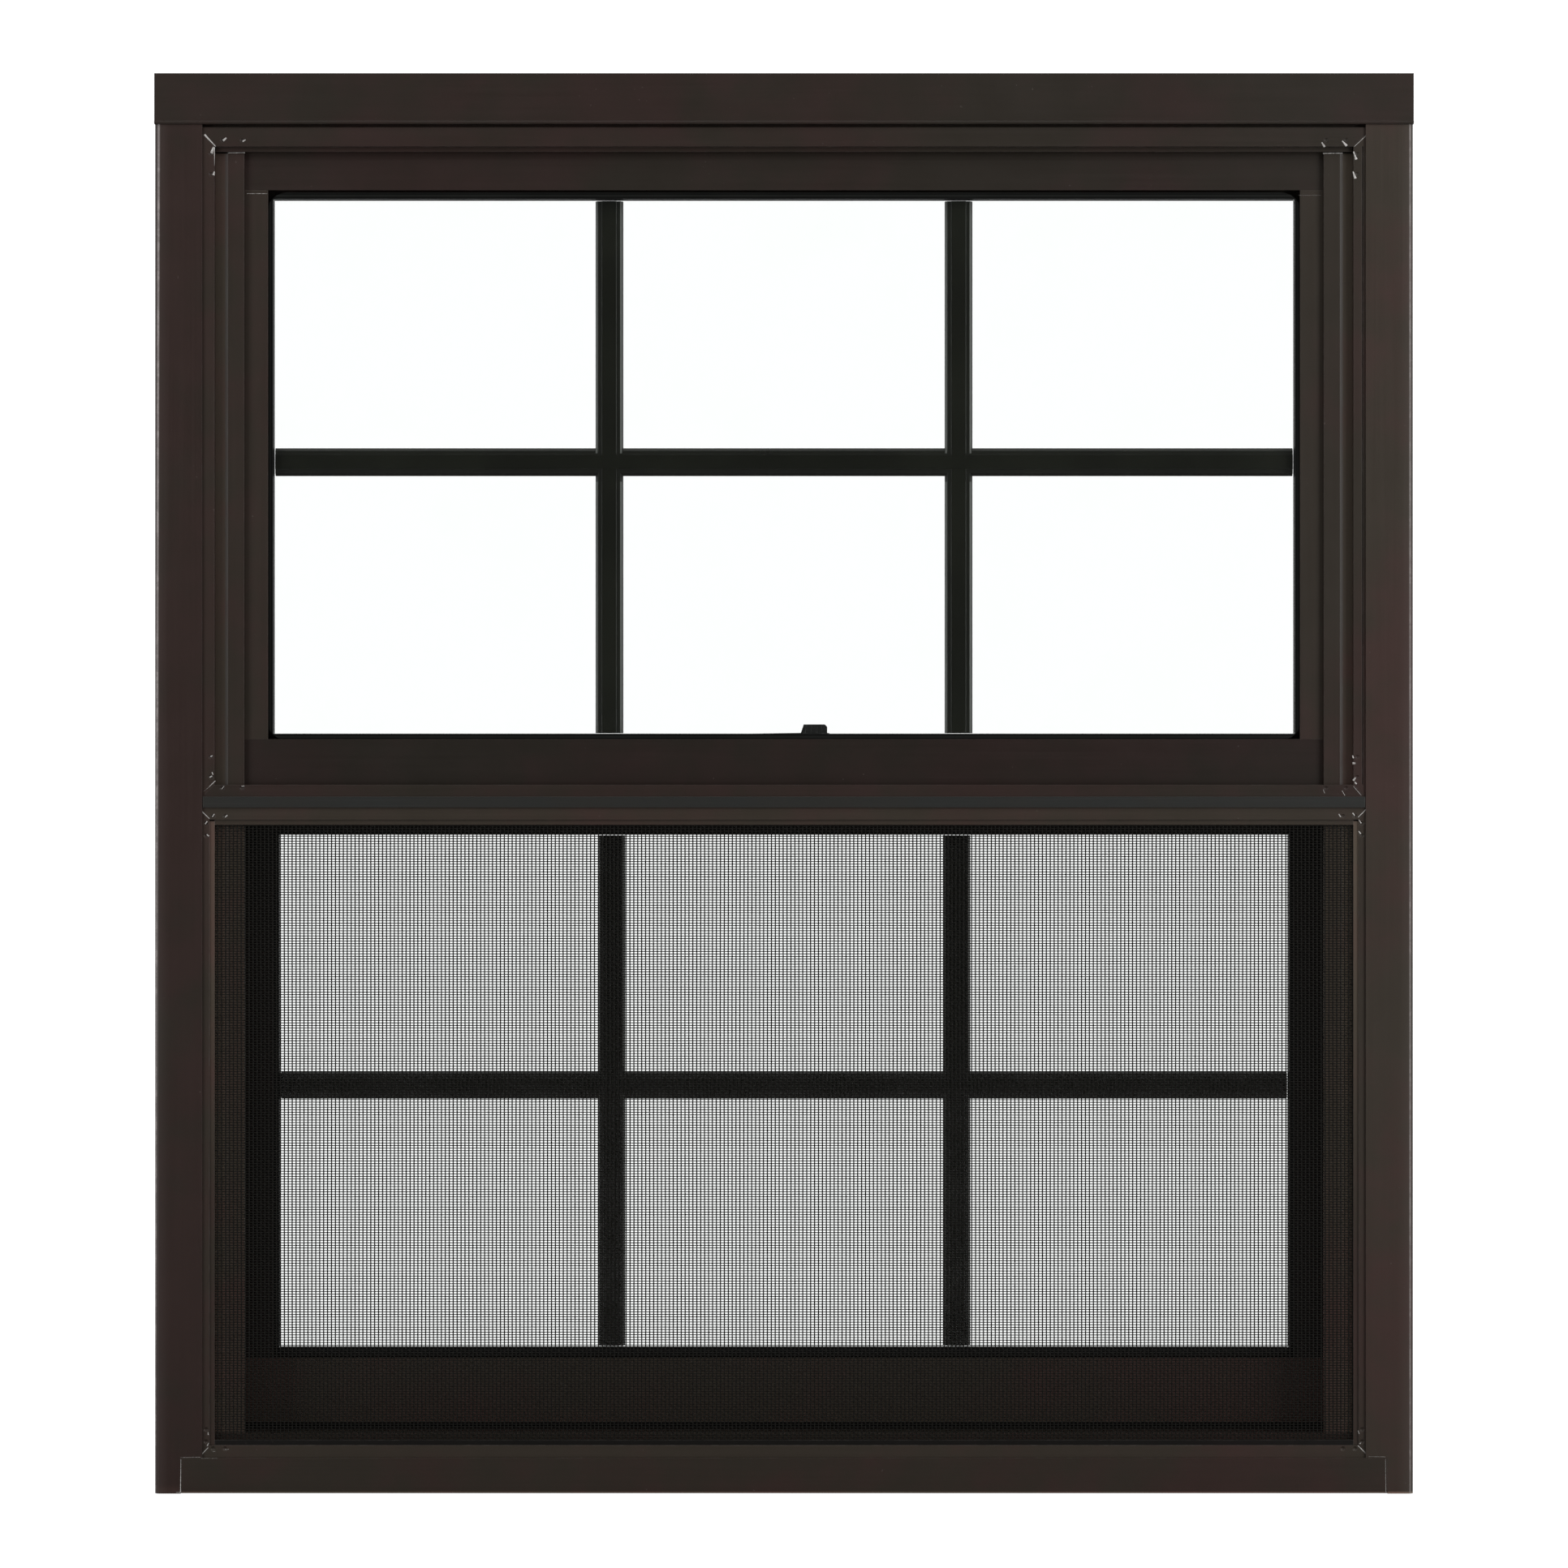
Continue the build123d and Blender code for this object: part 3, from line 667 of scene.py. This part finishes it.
def bare_metal_and_highlight(name):
    """Sawn aluminium with fine scratches and patches of paint left on it, also used as painted
    highlight.
    """
    look = bpy.context.scene.window_finish
    material, at = new_material(name)
    scratch = at.noise(1800.0, 2.0, 0.7, (1.0, 1.0, 0.15))
    patch = at.noise(420.0, 3.0, 0.6).band(0.46, 0.64)
    dull = tuple(0.7 * c for c in look.bare_metal_and_highlight)
    metal = scratch.band(0.35, 0.70).mix(dull, look.bare_metal_and_highlight)
    colour = (patch * 0.35).mix(metal, look.wear_dust_and_edge_highlight)
    bump = at.node("ShaderNodeBump", {}, {"Strength": 0.3, "Distance": 0.04 * MM, "Height": scratch})
    shader = at.node("ShaderNodeBsdfPrincipled", {}, {
        "Base Color": colour, "Metallic": 0.20 - patch * 0.15, "Roughness": 0.40 + scratch * 0.2,
        "Normal": bump,
    })
    finish_surface(at, shader)
    return material


def dress(nodes, material):
    """Give CAD nodes their material."""
    for name in nodes:
        mesh = NODES[name].data
        mesh.materials.clear()
        mesh.materials.append(material)


def geometry_tree(name, inputs):
    """A geometry node tree with named inputs; returns it with its input sockets and identifiers."""
    tree = bpy.data.node_groups.new(name, "GeometryNodeTree")
    face = tree.interface
    face.new_socket("Geometry", in_out="INPUT", socket_type="NodeSocketGeometry")
    keys = {}
    for label, kind in inputs.items():
        keys[label] = face.new_socket(label, in_out="INPUT", socket_type=kind).identifier
    face.new_socket("Geometry", in_out="OUTPUT", socket_type="NodeSocketGeometry")
    start = tree.nodes.new("NodeGroupInput")
    sockets = {label: start.outputs[label] for label in inputs}
    return tree, sockets, keys


def grow(tree, kind, settings=None, inputs=None):
    """Add a node to a geometry tree."""
    return fill(tree, tree.nodes.new(kind), settings or {}, inputs or {})


def close_tree(tree, geometry, material):
    """Realize what the tree made, give it its material and pass it out."""
    real = grow(tree, "GeometryNodeRealizeInstances", {}, {0: geometry})
    painted = grow(tree, "GeometryNodeSetMaterial", {}, {0: real.outputs[0], "Material": material})
    grow(tree, "NodeGroupOutput", {}, {0: painted.outputs[0]})


def grown_piece(name, tree, keys, values):
    """Run a geometry tree, keep the result as a plain mesh piece and drop the modifier."""
    seed = bpy.data.objects.new(name + "_seed", bpy.data.meshes.new(name + "_seed"))
    bpy.context.scene.collection.objects.link(seed)
    modifier = seed.modifiers.new(name, "NODES")
    modifier.node_group = tree
    for label, value in values.items():
        modifier[keys[label]] = value
    bpy.context.view_layer.update()
    shape = seed.evaluated_get(bpy.context.evaluated_depsgraph_get())
    result = bpy.data.meshes.new_from_object(shape)
    seed.modifiers.remove(modifier)
    bpy.data.objects.remove(seed)
    if not result.polygons:
        raise RuntimeError(name + " came out empty")
    result.name = name
    piece = bpy.data.objects.new(name, result)
    bpy.context.scene.collection.objects.link(piece)
    return piece


WEAVE_INPUTS = {
    "Low Corner": "NodeSocketVector",
    "Width": "NodeSocketFloat",
    "Height": "NodeSocketFloat",
    "Upright Count": "NodeSocketInt",
    "Upright Pitch": "NodeSocketFloat",
    "Upright Width": "NodeSocketFloat",
    "Cross Count": "NodeSocketInt",
    "Cross Pitch": "NodeSocketFloat",
    "Cross Width": "NodeSocketFloat",
    "Crown": "NodeSocketFloat",
    "Waver": "NodeSocketFloat",
    "Seed": "NodeSocketFloat",
    "Material": "NodeSocketMaterial",
}
YARN_SIDES = 8
YARN_BENDS = 14
UPRIGHT_RIPPLE = (22.0, 1.0, 6.0)
CROSS_RIPPLE = (5.0, 1.0, 26.0)


def combine(tree, x=0.0, y=0.0, z=0.0):
    """A vector from three values or links."""
    return grow(tree, "ShaderNodeCombineXYZ", {}, {0: x, 1: y, 2: z}).outputs[0]


def calculate(tree, operation, *values):
    """A Math node in a geometry tree."""
    result = grow(tree, "ShaderNodeMath", {"operation": operation}, dict(enumerate(values)))
    return result.outputs[0]


def add_vectors(tree, first, second):
    """The sum of two vectors."""
    total = grow(tree, "ShaderNodeVectorMath", {"operation": "ADD"}, {0: first, 1: second})
    return total.outputs[0]


def yarn_set(tree, given, upright):
    """One direction of the weave: a row of points, a yarn on each, bent a little, with its section."""
    label = "Upright" if upright else "Cross"
    pitch = given[label + " Pitch"]
    depth = calculate(tree, "MULTIPLY", given["Crown"], 0.5 if upright else -0.5)
    first = add_vectors(tree, given["Low Corner"], combine(tree, y=depth))
    step = combine(tree, x=pitch) if upright else combine(tree, z=pitch)
    row = grow(tree, "GeometryNodeMeshLine", {"mode": "OFFSET"}, {
        "Count": given[label + " Count"], "Start Location": first, "Offset": step,
    })
    end = combine(tree, z=given["Height"]) if upright else combine(tree, x=given["Width"])
    line = grow(tree, "GeometryNodeCurvePrimitiveLine", {}, {"Start": (0, 0, 0), "End": end})
    bent = grow(tree, "GeometryNodeResampleCurve", {}, {
        "Curve": line.outputs[0], "Count": YARN_BENDS,
    })
    yarns = grow(tree, "GeometryNodeInstanceOnPoints", {}, {
        "Points": row.outputs[0], "Instance": bent.outputs[0],
    })
    real = grow(tree, "GeometryNodeRealizeInstances", {}, {0: yarns.outputs[0]})
    place = grow(tree, "GeometryNodeInputPosition").outputs[0]
    shifted = add_vectors(tree, place, combine(tree, y=given["Seed"]))
    drawn = grow(tree, "ShaderNodeVectorMath", {"operation": "MULTIPLY"}, {
        0: shifted, 1: UPRIGHT_RIPPLE if upright else CROSS_RIPPLE,
    })
    noise = grow(tree, "ShaderNodeTexNoise", {}, {
        "Vector": drawn.outputs[0], "Scale": 1.0, "Detail": 2.0,
    })
    centred = calculate(tree, "SUBTRACT", noise.outputs[0], 0.5)
    stray = calculate(tree, "MULTIPLY", centred, given["Waver"])
    offset = combine(tree, x=stray) if upright else combine(tree, z=stray)
    moved = grow(tree, "GeometryNodeSetPosition", {}, {0: real.outputs[0], "Offset": offset})
    ring = grow(tree, "GeometryNodeCurvePrimitiveCircle", {}, {
        "Resolution": YARN_SIDES, "Radius": 0.5,
    })
    width = given[label + " Width"]
    section = combine(tree, width, width, width)
    sized = grow(tree, "GeometryNodeTransform", {}, {0: ring.outputs[0], "Scale": section})
    return grow(tree, "GeometryNodeCurveToMesh", {}, {
        0: moved.outputs[0], "Profile Curve": sized.outputs[0], "Fill Caps": True,
    }).outputs[0]


class WINDOW_OT_paint_members(bpy.types.Operator):
    """Paint frame, stops, ring, sashes and screen bars in bronze, and the cover strip in graphite."""

    bl_idname = "window_kit.paint_members"
    bl_label = "Paint members"

    def execute(self, context):
        for name, slot, axis, shade, warmth, edge_rub_and_highlight, nodes in MEMBERS:
            dress(nodes, bronze_paint(name, axis, shade, warmth, edge_rub_and_highlight))
        dress(("meeting_bar",), graphite_strip("graphite_cover"))
        return {"FINISHED"}


class WINDOW_OT_glaze(bpy.types.Operator):
    """Finish the panes, their vinyl channels and the grid bars behind them."""

    bl_idname = "window_kit.glaze"
    bl_label = "Glaze"

    def execute(self, context):
        look = context.scene.window_finish
        dress(("upper_glass", "lower_glass"), clear_glass("clear_pane"))
        for node in ("upper_gasket", "lower_gasket"):
            vinyl = moulded(
                f"{node}_vinyl", look.vinyl, 0.36, 1500.0, 0.04 * MM,
                dust=0.008, shine=VINYL_SHINE, lines=gasket_rib_highlights(node),
            )
            dress((node,), vinyl)
        bars = moulded(
            "grid_bar_plastic", look.bar_green, 0.30, 2200.0, 0.02 * MM, dust=0.02, lines=bar_highlight_lines
        )
        dress(("upper_grid", "lower_grid"), bars)
        return {"FINISHED"}


class WINDOW_OT_fit_small_parts(bpy.types.Operator):
    """Finish the latch, the seal under the lower sash and the cord that holds the mesh."""

    bl_idname = "window_kit.fit_small_parts"
    bl_label = "Fit small parts"

    def execute(self, context):
        look = context.scene.window_finish
        latch_black = tuple(1.95 * c for c in look.vinyl)
        latch = moulded("latch_plastic", latch_black, 0.40, 1900.0, 0.05 * MM)
        dress(("latch_base", "latch_knob"), latch)
        seal = moulded("seal_pile", look.vinyl, 0.8, 2600.0, 0.3 * MM)
        dress(("lower_weatherstrip",), seal)
        cord = moulded("spline_rubber", look.vinyl, 0.6, 700.0, 0.2 * MM)
        dress(("screen_spline",), cord)
        return {"FINISHED"}


class WINDOW_OT_weave_screen(bpy.types.Operator):
    """Weave the insect mesh from upright and cross yarns in place of the plain sheet."""

    bl_idname = "window_kit.weave_screen"
    bl_label = "Weave screen"

    def execute(self, context):
        weave = context.scene.window_weave
        low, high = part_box("screen_mesh")
        size = high - low
        middle = Vector((low.x, (low.y + high.y) / 2, low.z))
        tree, given, keys = geometry_tree("screen_weave", WEAVE_INPUTS)
        uprights = yarn_set(tree, given, upright=True)
        crosses = yarn_set(tree, given, upright=False)
        both = tree.nodes.new("GeometryNodeJoinGeometry")
        for yarns in (uprights, crosses):
            tree.links.new(yarns, both.inputs[0])
        close_tree(tree, both.outputs[0], given["Material"])
        values = {
            "Low Corner": middle,
            "Width": size.x,
            "Height": size.z,
            "Upright Count": int(size.x / weave.upright_pitch) + 1,
            "Upright Pitch": weave.upright_pitch,
            "Upright Width": weave.upright_width,
            "Cross Count": int(size.z / weave.cross_pitch) + 1,
            "Cross Pitch": weave.cross_pitch,
            "Cross Width": weave.cross_width,
            "Crown": weave.crown,
            "Waver": weave.waver,
            "Seed": float(weave.seed),
            "Material": coated_yarn("coated_yarn"),
        }
        mesh = grown_piece("screen_weave", tree, keys, values)
        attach(mesh, "root")
        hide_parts("screen_mesh")
        return {"FINISHED"}


# Height of the part's origin above the window's bottom edge, in millimetres
FOOT = 8.65
LEAST_WIDTH = 0.12
LEAST_HEIGHT = 0.25
# Raw edges in millimetres, bright ridges that are partly cut metal and partly painted highlight, and
# painted highlights beside the corner dents: piece, slot, depth of the face, then lines as x, height
# above the bottom edge and width at both ends, and chipping
RAW_EDGES = (
    ("ring_mitre_edges", "bronze_ring", -1.5, (
        (-280.7, 658.2, 0.96, -275.3, 652.4, 0.36, 0.1),
        (282.2, 657.9, 0.32, 276.3, 652.4, 0.28, 0.2),
        (-275.5, 345.1, 0.48, -278.5, 342.2, 0.32, 0.3),
        (-278.5, 342.1, 0.20, -281.0, 340.1, 0.12, 0.5),
        (275.9, 342.4, 0.24, 279.6, 338.1, 0.24, 0.3),
        (-275.9, 652.0, 0.44, -275.9, 643.1, 0.16, 0.3),
    )),
    # Painted highlights beside the ring's corner dents
    ("ring_dent_highlights", "bronze_ring", -1.5, (
        (-271.7, 655.2, 1.20, -270.1, 656.6, 0.64, 0.2),
        (-262.3, 654.8, 0.80, -260.8, 655.7, 0.48, 0.2),
        (-276.3, 652.2, 0.64, -277.3, 649.1, 1.76, 0.2),
        (-275.9, 640.3, 0.40, -276.4, 638.5, 1.28, 0.2),
        (260.5, 654.4, 0.56, 261.9, 652.2, 1.12, 0.2),
        (270.4, 655.1, 0.56, 272.6, 652.7, 1.28, 0.2),
        (275.9, 649.9, 0.64, 277.2, 646.1, 1.36, 0.5),
        (275.6, 640.3, 0.48, 276.8, 636.9, 1.44, 0.2),
        (-277.8, 356.9, 0.72, -276.8, 357.3, 0.48, 0.2),
        (-277.1, 349.4, 0.32, -276.6, 348.1, 0.56, 0.3),
        (-278.2, 346.8, 0.72, -277.0, 347.5, 0.56, 0.2),
        (275.4, 357.4, 0.48, 275.8, 356.1, 0.72, 0.2),
        (275.4, 353.7, 1.12, 276.8, 353.6, 0.88, 0.2),
        (275.8, 345.2, 1.20, 276.8, 346.7, 0.72, 0.2),
        (276.5, 344.4, 0.88, 277.4, 343.6, 0.72, 0.2),
        (-272.4, 341.1, 0.40, -271.2, 342.6, 0.32, 0.5),
        (-262.7, 342.5, 0.48, -261.4, 342.6, 0.40, 0.5),
        (261.2, 340.9, 0.32, 261.9, 339.1, 0.32, 0.5),
        (270.3, 340.4, 0.32, 271.7, 338.0, 0.32, 0.5),
    )),
    ("screen_mitre_edges", "bronze_screen", -1.5, (
        (-281.9, 330.2, 0.52, -278.3, 326.8, 0.36, 0.2),
        (281.9, 331.2, 0.56, 278.1, 327.5, 0.40, 0.2),
        (-281.9, 19.1, 0.48, -278.9, 22.1, 0.32, 0.2),
        (282.5, 18.7, 0.52, 277.9, 23.2, 0.36, 0.3),
    )),
    # Painted highlights beside the screen's corner dents
    ("screen_dent_highlights", "bronze_screen", -1.5, (
        (-276.9, 327.7, 0.48, -275.9, 329.1, 0.56, 0.2),
        (-270.7, 327.5, 0.48, -269.6, 328.5, 0.64, 0.2),
        (-280.4, 324.2, 0.64, -279.4, 325.5, 0.64, 0.3),
        (-279.6, 319.2, 0.72, -278.6, 318.3, 0.80, 0.3),
        (268.7, 329.1, 0.48, 269.6, 327.6, 0.64, 0.2),
        (275.4, 329.6, 0.56, 276.4, 328.3, 0.56, 0.2),
        (278.4, 326.3, 0.40, 279.6, 324.6, 0.64, 0.3),
        (278.3, 320.8, 0.56, 279.4, 319.4, 0.64, 0.3),
        (-279.4, 22.9, 0.72, -278.7, 24.4, 0.32, 0.3),
        (-279.0, 29.7, 0.32, -278.9, 28.3, 0.56, 0.3),
        (-276.7, 20.2, 0.24, -275.5, 20.3, 0.24, 0.6),
        (-270.8, 21.2, 0.24, -268.9, 21.3, 0.28, 0.6),
        (278.1, 30.4, 0.32, 278.6, 28.8, 0.48, 0.4),
        (278.8, 23.9, 0.56, 279.4, 24.4, 0.56, 0.3),
    )),
    ("stop_end_burrs", "bronze_stop", 2.5, (
        (-270.0, 649.9, 0.48, -261.6, 650.0, 0.61, 0.7),
        (261.6, 649.7, 0.68, 271.2, 649.8, 0.68, 0.7),
    )),
    ("sash_joint_burrs", "bronze_sash", 5.0, (
        (-261.0, 630.5, 0.31, -251.1, 630.5, 0.31, 0.8),
        (250.0, 629.7, 0.12, 261.1, 629.7, 0.12, 0.8),
    )),
    ("sill_joint_edges", "bronze_frame", -2.5, (
        (-292.0, 16.6, 0.28, -292.2, 0.7, 0.48, 0.5),
        (-294.3, 0.6, 0.32, -292.2, 0.6, 0.40, 0.5),
        (-292.0, 17.5, 0.20, -282.6, 17.7, 0.20, 0.7),
        (-282.2, 17.1, 0.16, -274.5, 17.1, 0.12, 0.7),
        (291.2, 16.8, 0.20, 291.4, 0.6, 0.28, 0.5),
        (283.0, 18.0, 0.16, 291.2, 17.8, 0.16, 0.7),
    )),
)


def chipped_ridge(made, line, depth, height, step, chips):
    """Add a low ridge along a line on a front face, its width and height broken by chips."""
    x0, up0, width0, x1, up1, width1, chipping = line
    first = Vector((x0, depth, up0 - FOOT)) * MM
    run = Vector((x1 - x0, 0.0, up1 - up0)) * MM
    side = Vector((-run.z, 0.0, run.x)).normalized()
    count = max(2, round(run.length / step))
    rings = []
    for i in range(count + 1):
        share = i / count
        left = 1.0 - chipping * chips.random()
        half = 0.5 * MM * (width0 + (width1 - width0) * share) * max(left, LEAST_WIDTH)
        middle = first + run * share
        crest = middle + Vector((0.0, -height * max(left, LEAST_HEIGHT), 0.0))
        points = (middle - side * half, crest, middle + side * half)
        rings.append([made.verts.new(point) for point in points])
    for near, far in zip(rings, rings[1:]):
        for k in range(3):
            made.faces.new((near[k], near[k - 1], far[k - 1], far[k]))
    made.faces.new(rings[0])
    made.faces.new(rings[-1])


class WINDOW_OT_bare_raw_edges(bpy.types.Operator):
    """Lay the bright slivers on the mitres and the burrs on cut ends and joints, partly cut metal and
    partly painted highlight, and the painted highlights beside the corner dents.
    """

    bl_idname = "window_kit.bare_raw_edges"
    bl_label = "Bare raw edges"

    def execute(self, context):
        raw = context.scene.window_raw_edges
        metal = bare_metal_and_highlight("bare_metal_and_highlight")
        chips = random.Random(raw.seed)
        for name, slot, depth, lines in RAW_EDGES:
            made = bmesh.new()
            for line in lines:
                chipped_ridge(made, line, depth, raw.height, raw.step, chips)
            bmesh.ops.recalc_face_normals(made, faces=made.faces)
            mesh = bpy.data.meshes.new(name)
            made.to_mesh(mesh)
            made.free()
            mesh.materials.append(metal)
            piece = bpy.data.objects.new(name, mesh)
            context.scene.collection.objects.link(piece)
            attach(piece, "root")
        return {"FINISHED"}


def softbox(name, place, target, size, radiance):
    """A rectangular soft light that faces a target."""
    light = bpy.data.lights.new(name, "AREA")
    light.shape = "RECTANGLE"
    light.size, light.size_y = size
    light.energy = radiance * math.pi * size[0] * size[1]
    lamp = bpy.data.objects.new(name, light)
    bpy.context.scene.collection.objects.link(lamp)
    lamp.location = place
    lamp.rotation_euler = (Vector(target) - Vector(place)).to_track_quat("-Z", "Y").to_euler()


def white_world(studio):
    """White to the camera; to everything else a white wall behind and a dim room in front."""
    world = bpy.data.worlds.new("white_studio")
    world.use_nodes = True
    tree = world.node_tree
    tree.nodes.clear()
    way = Signal(tree).node("ShaderNodeTexCoord")
    behind = way.axis(1).band(-0.05, 0.35)
    strength = studio.room + behind * (studio.backdrop - studio.room)
    seen = way.node("ShaderNodeLightPath")
    strength = strength + seen * (studio.backdrop - strength)
    light = way.node("ShaderNodeBackground", {}, {"Color": WHITE, "Strength": strength})
    way.node("ShaderNodeOutputWorld", {}, {"Surface": light})
    world.cycles.sampling_method = "NONE"
    bpy.context.scene.world = world


def pale_floor(studio, height):
    """A plain pale floor under the window, as white as the backdrop in the picture."""
    mesh = bpy.data.meshes.new("floor")
    turns = ((-1, -1), (1, -1), (1, 1), (-1, 1))
    corners = [(x * FLOOR_REACH, y * FLOOR_REACH, height) for x, y in turns]
    mesh.from_pydata(corners, [], [(0, 1, 2, 3)])
    material, at = new_material("pale_floor")
    seen = at.node("ShaderNodeLightPath")
    matt = at.node("ShaderNodeBsdfDiffuse", {}, {"Color": FLOOR_GREY})
    white = at.node("ShaderNodeEmission", {}, {"Strength": studio.backdrop})
    finish_surface(at, at.node("ShaderNodeMixShader", {}, {0: seen, 1: matt, 2: white}))
    material.cycles.emission_sampling = "NONE"
    mesh.materials.append(material)
    floor = bpy.data.objects.new("floor", mesh)
    bpy.context.scene.collection.objects.link(floor)


class WINDOW_OT_set_studio(bpy.types.Operator):
    """Set the camera, the softboxes, the pale floor and the white background."""

    bl_idname = "window_kit.set_studio"
    bl_label = "Set studio"

    def execute(self, context):
        studio = context.scene.window_studio
        low, high = CAD_BOX
        centre = (low + high) / 2
        camera = bpy.data.cameras.new("camera")
        camera.sensor_width = SENSOR_WIDTH
        camera.lens = camera.sensor_width * studio.camera_distance / studio.frame_width
        eye = bpy.data.objects.new("camera", camera)
        context.scene.collection.objects.link(eye)
        eye.location = (0.0, low.y - studio.camera_distance, studio.camera_height)
        eye.rotation_euler = (math.pi / 2, 0.0, 0.0)
        context.scene.camera = eye
        for name, place, size, setting in SOFTBOXES:
            softbox(name, place, centre, size, getattr(studio, setting))
        pale_floor(studio, low.z)
        white_world(studio)
        context.scene.view_settings.view_transform = "Standard"
        return {"FINISHED"}


class WINDOW_PT_kit(bpy.types.Panel):
    """Lists the steps that dress the window."""

    bl_idname = "WINDOW_PT_kit"
    bl_label = "Bronze window"
    bl_space_type = "VIEW_3D"
    bl_region_type = "UI"
    bl_category = "Window"

    def draw(self, context):
        for step in STEPS:
            self.layout.operator(step.bl_idname)


STEPS = (
    WINDOW_OT_paint_members,
    WINDOW_OT_glaze,
    WINDOW_OT_fit_small_parts,
    WINDOW_OT_weave_screen,
    WINDOW_OT_bare_raw_edges,
    WINDOW_OT_set_studio,
)
GROUPS = {
    "window_finish": BronzeFinish,
    "window_weave": ScreenWeave,
    "window_raw_edges": RawEdges,
    "window_studio": Studio,
}


def register():
    for cls in (*GROUPS.values(), *STEPS, WINDOW_PT_kit):
        bpy.utils.register_class(cls)
    for name, group in GROUPS.items():
        setattr(bpy.types.Scene, name, PointerProperty(type=group))


def unregister():
    for name in GROUPS:
        delattr(bpy.types.Scene, name)
    for cls in (WINDOW_PT_kit, *reversed(STEPS), *GROUPS.values()):
        bpy.utils.unregister_class(cls)


def main():
    """Dress the window step by step."""
    register()
    bpy.ops.window_kit.paint_members()
    bpy.ops.window_kit.glaze()
    bpy.ops.window_kit.fit_small_parts()
    bpy.ops.window_kit.weave_screen()
    bpy.ops.window_kit.bare_raw_edges()
    bpy.ops.window_kit.set_studio()


if __name__ == "__main__":
    main()
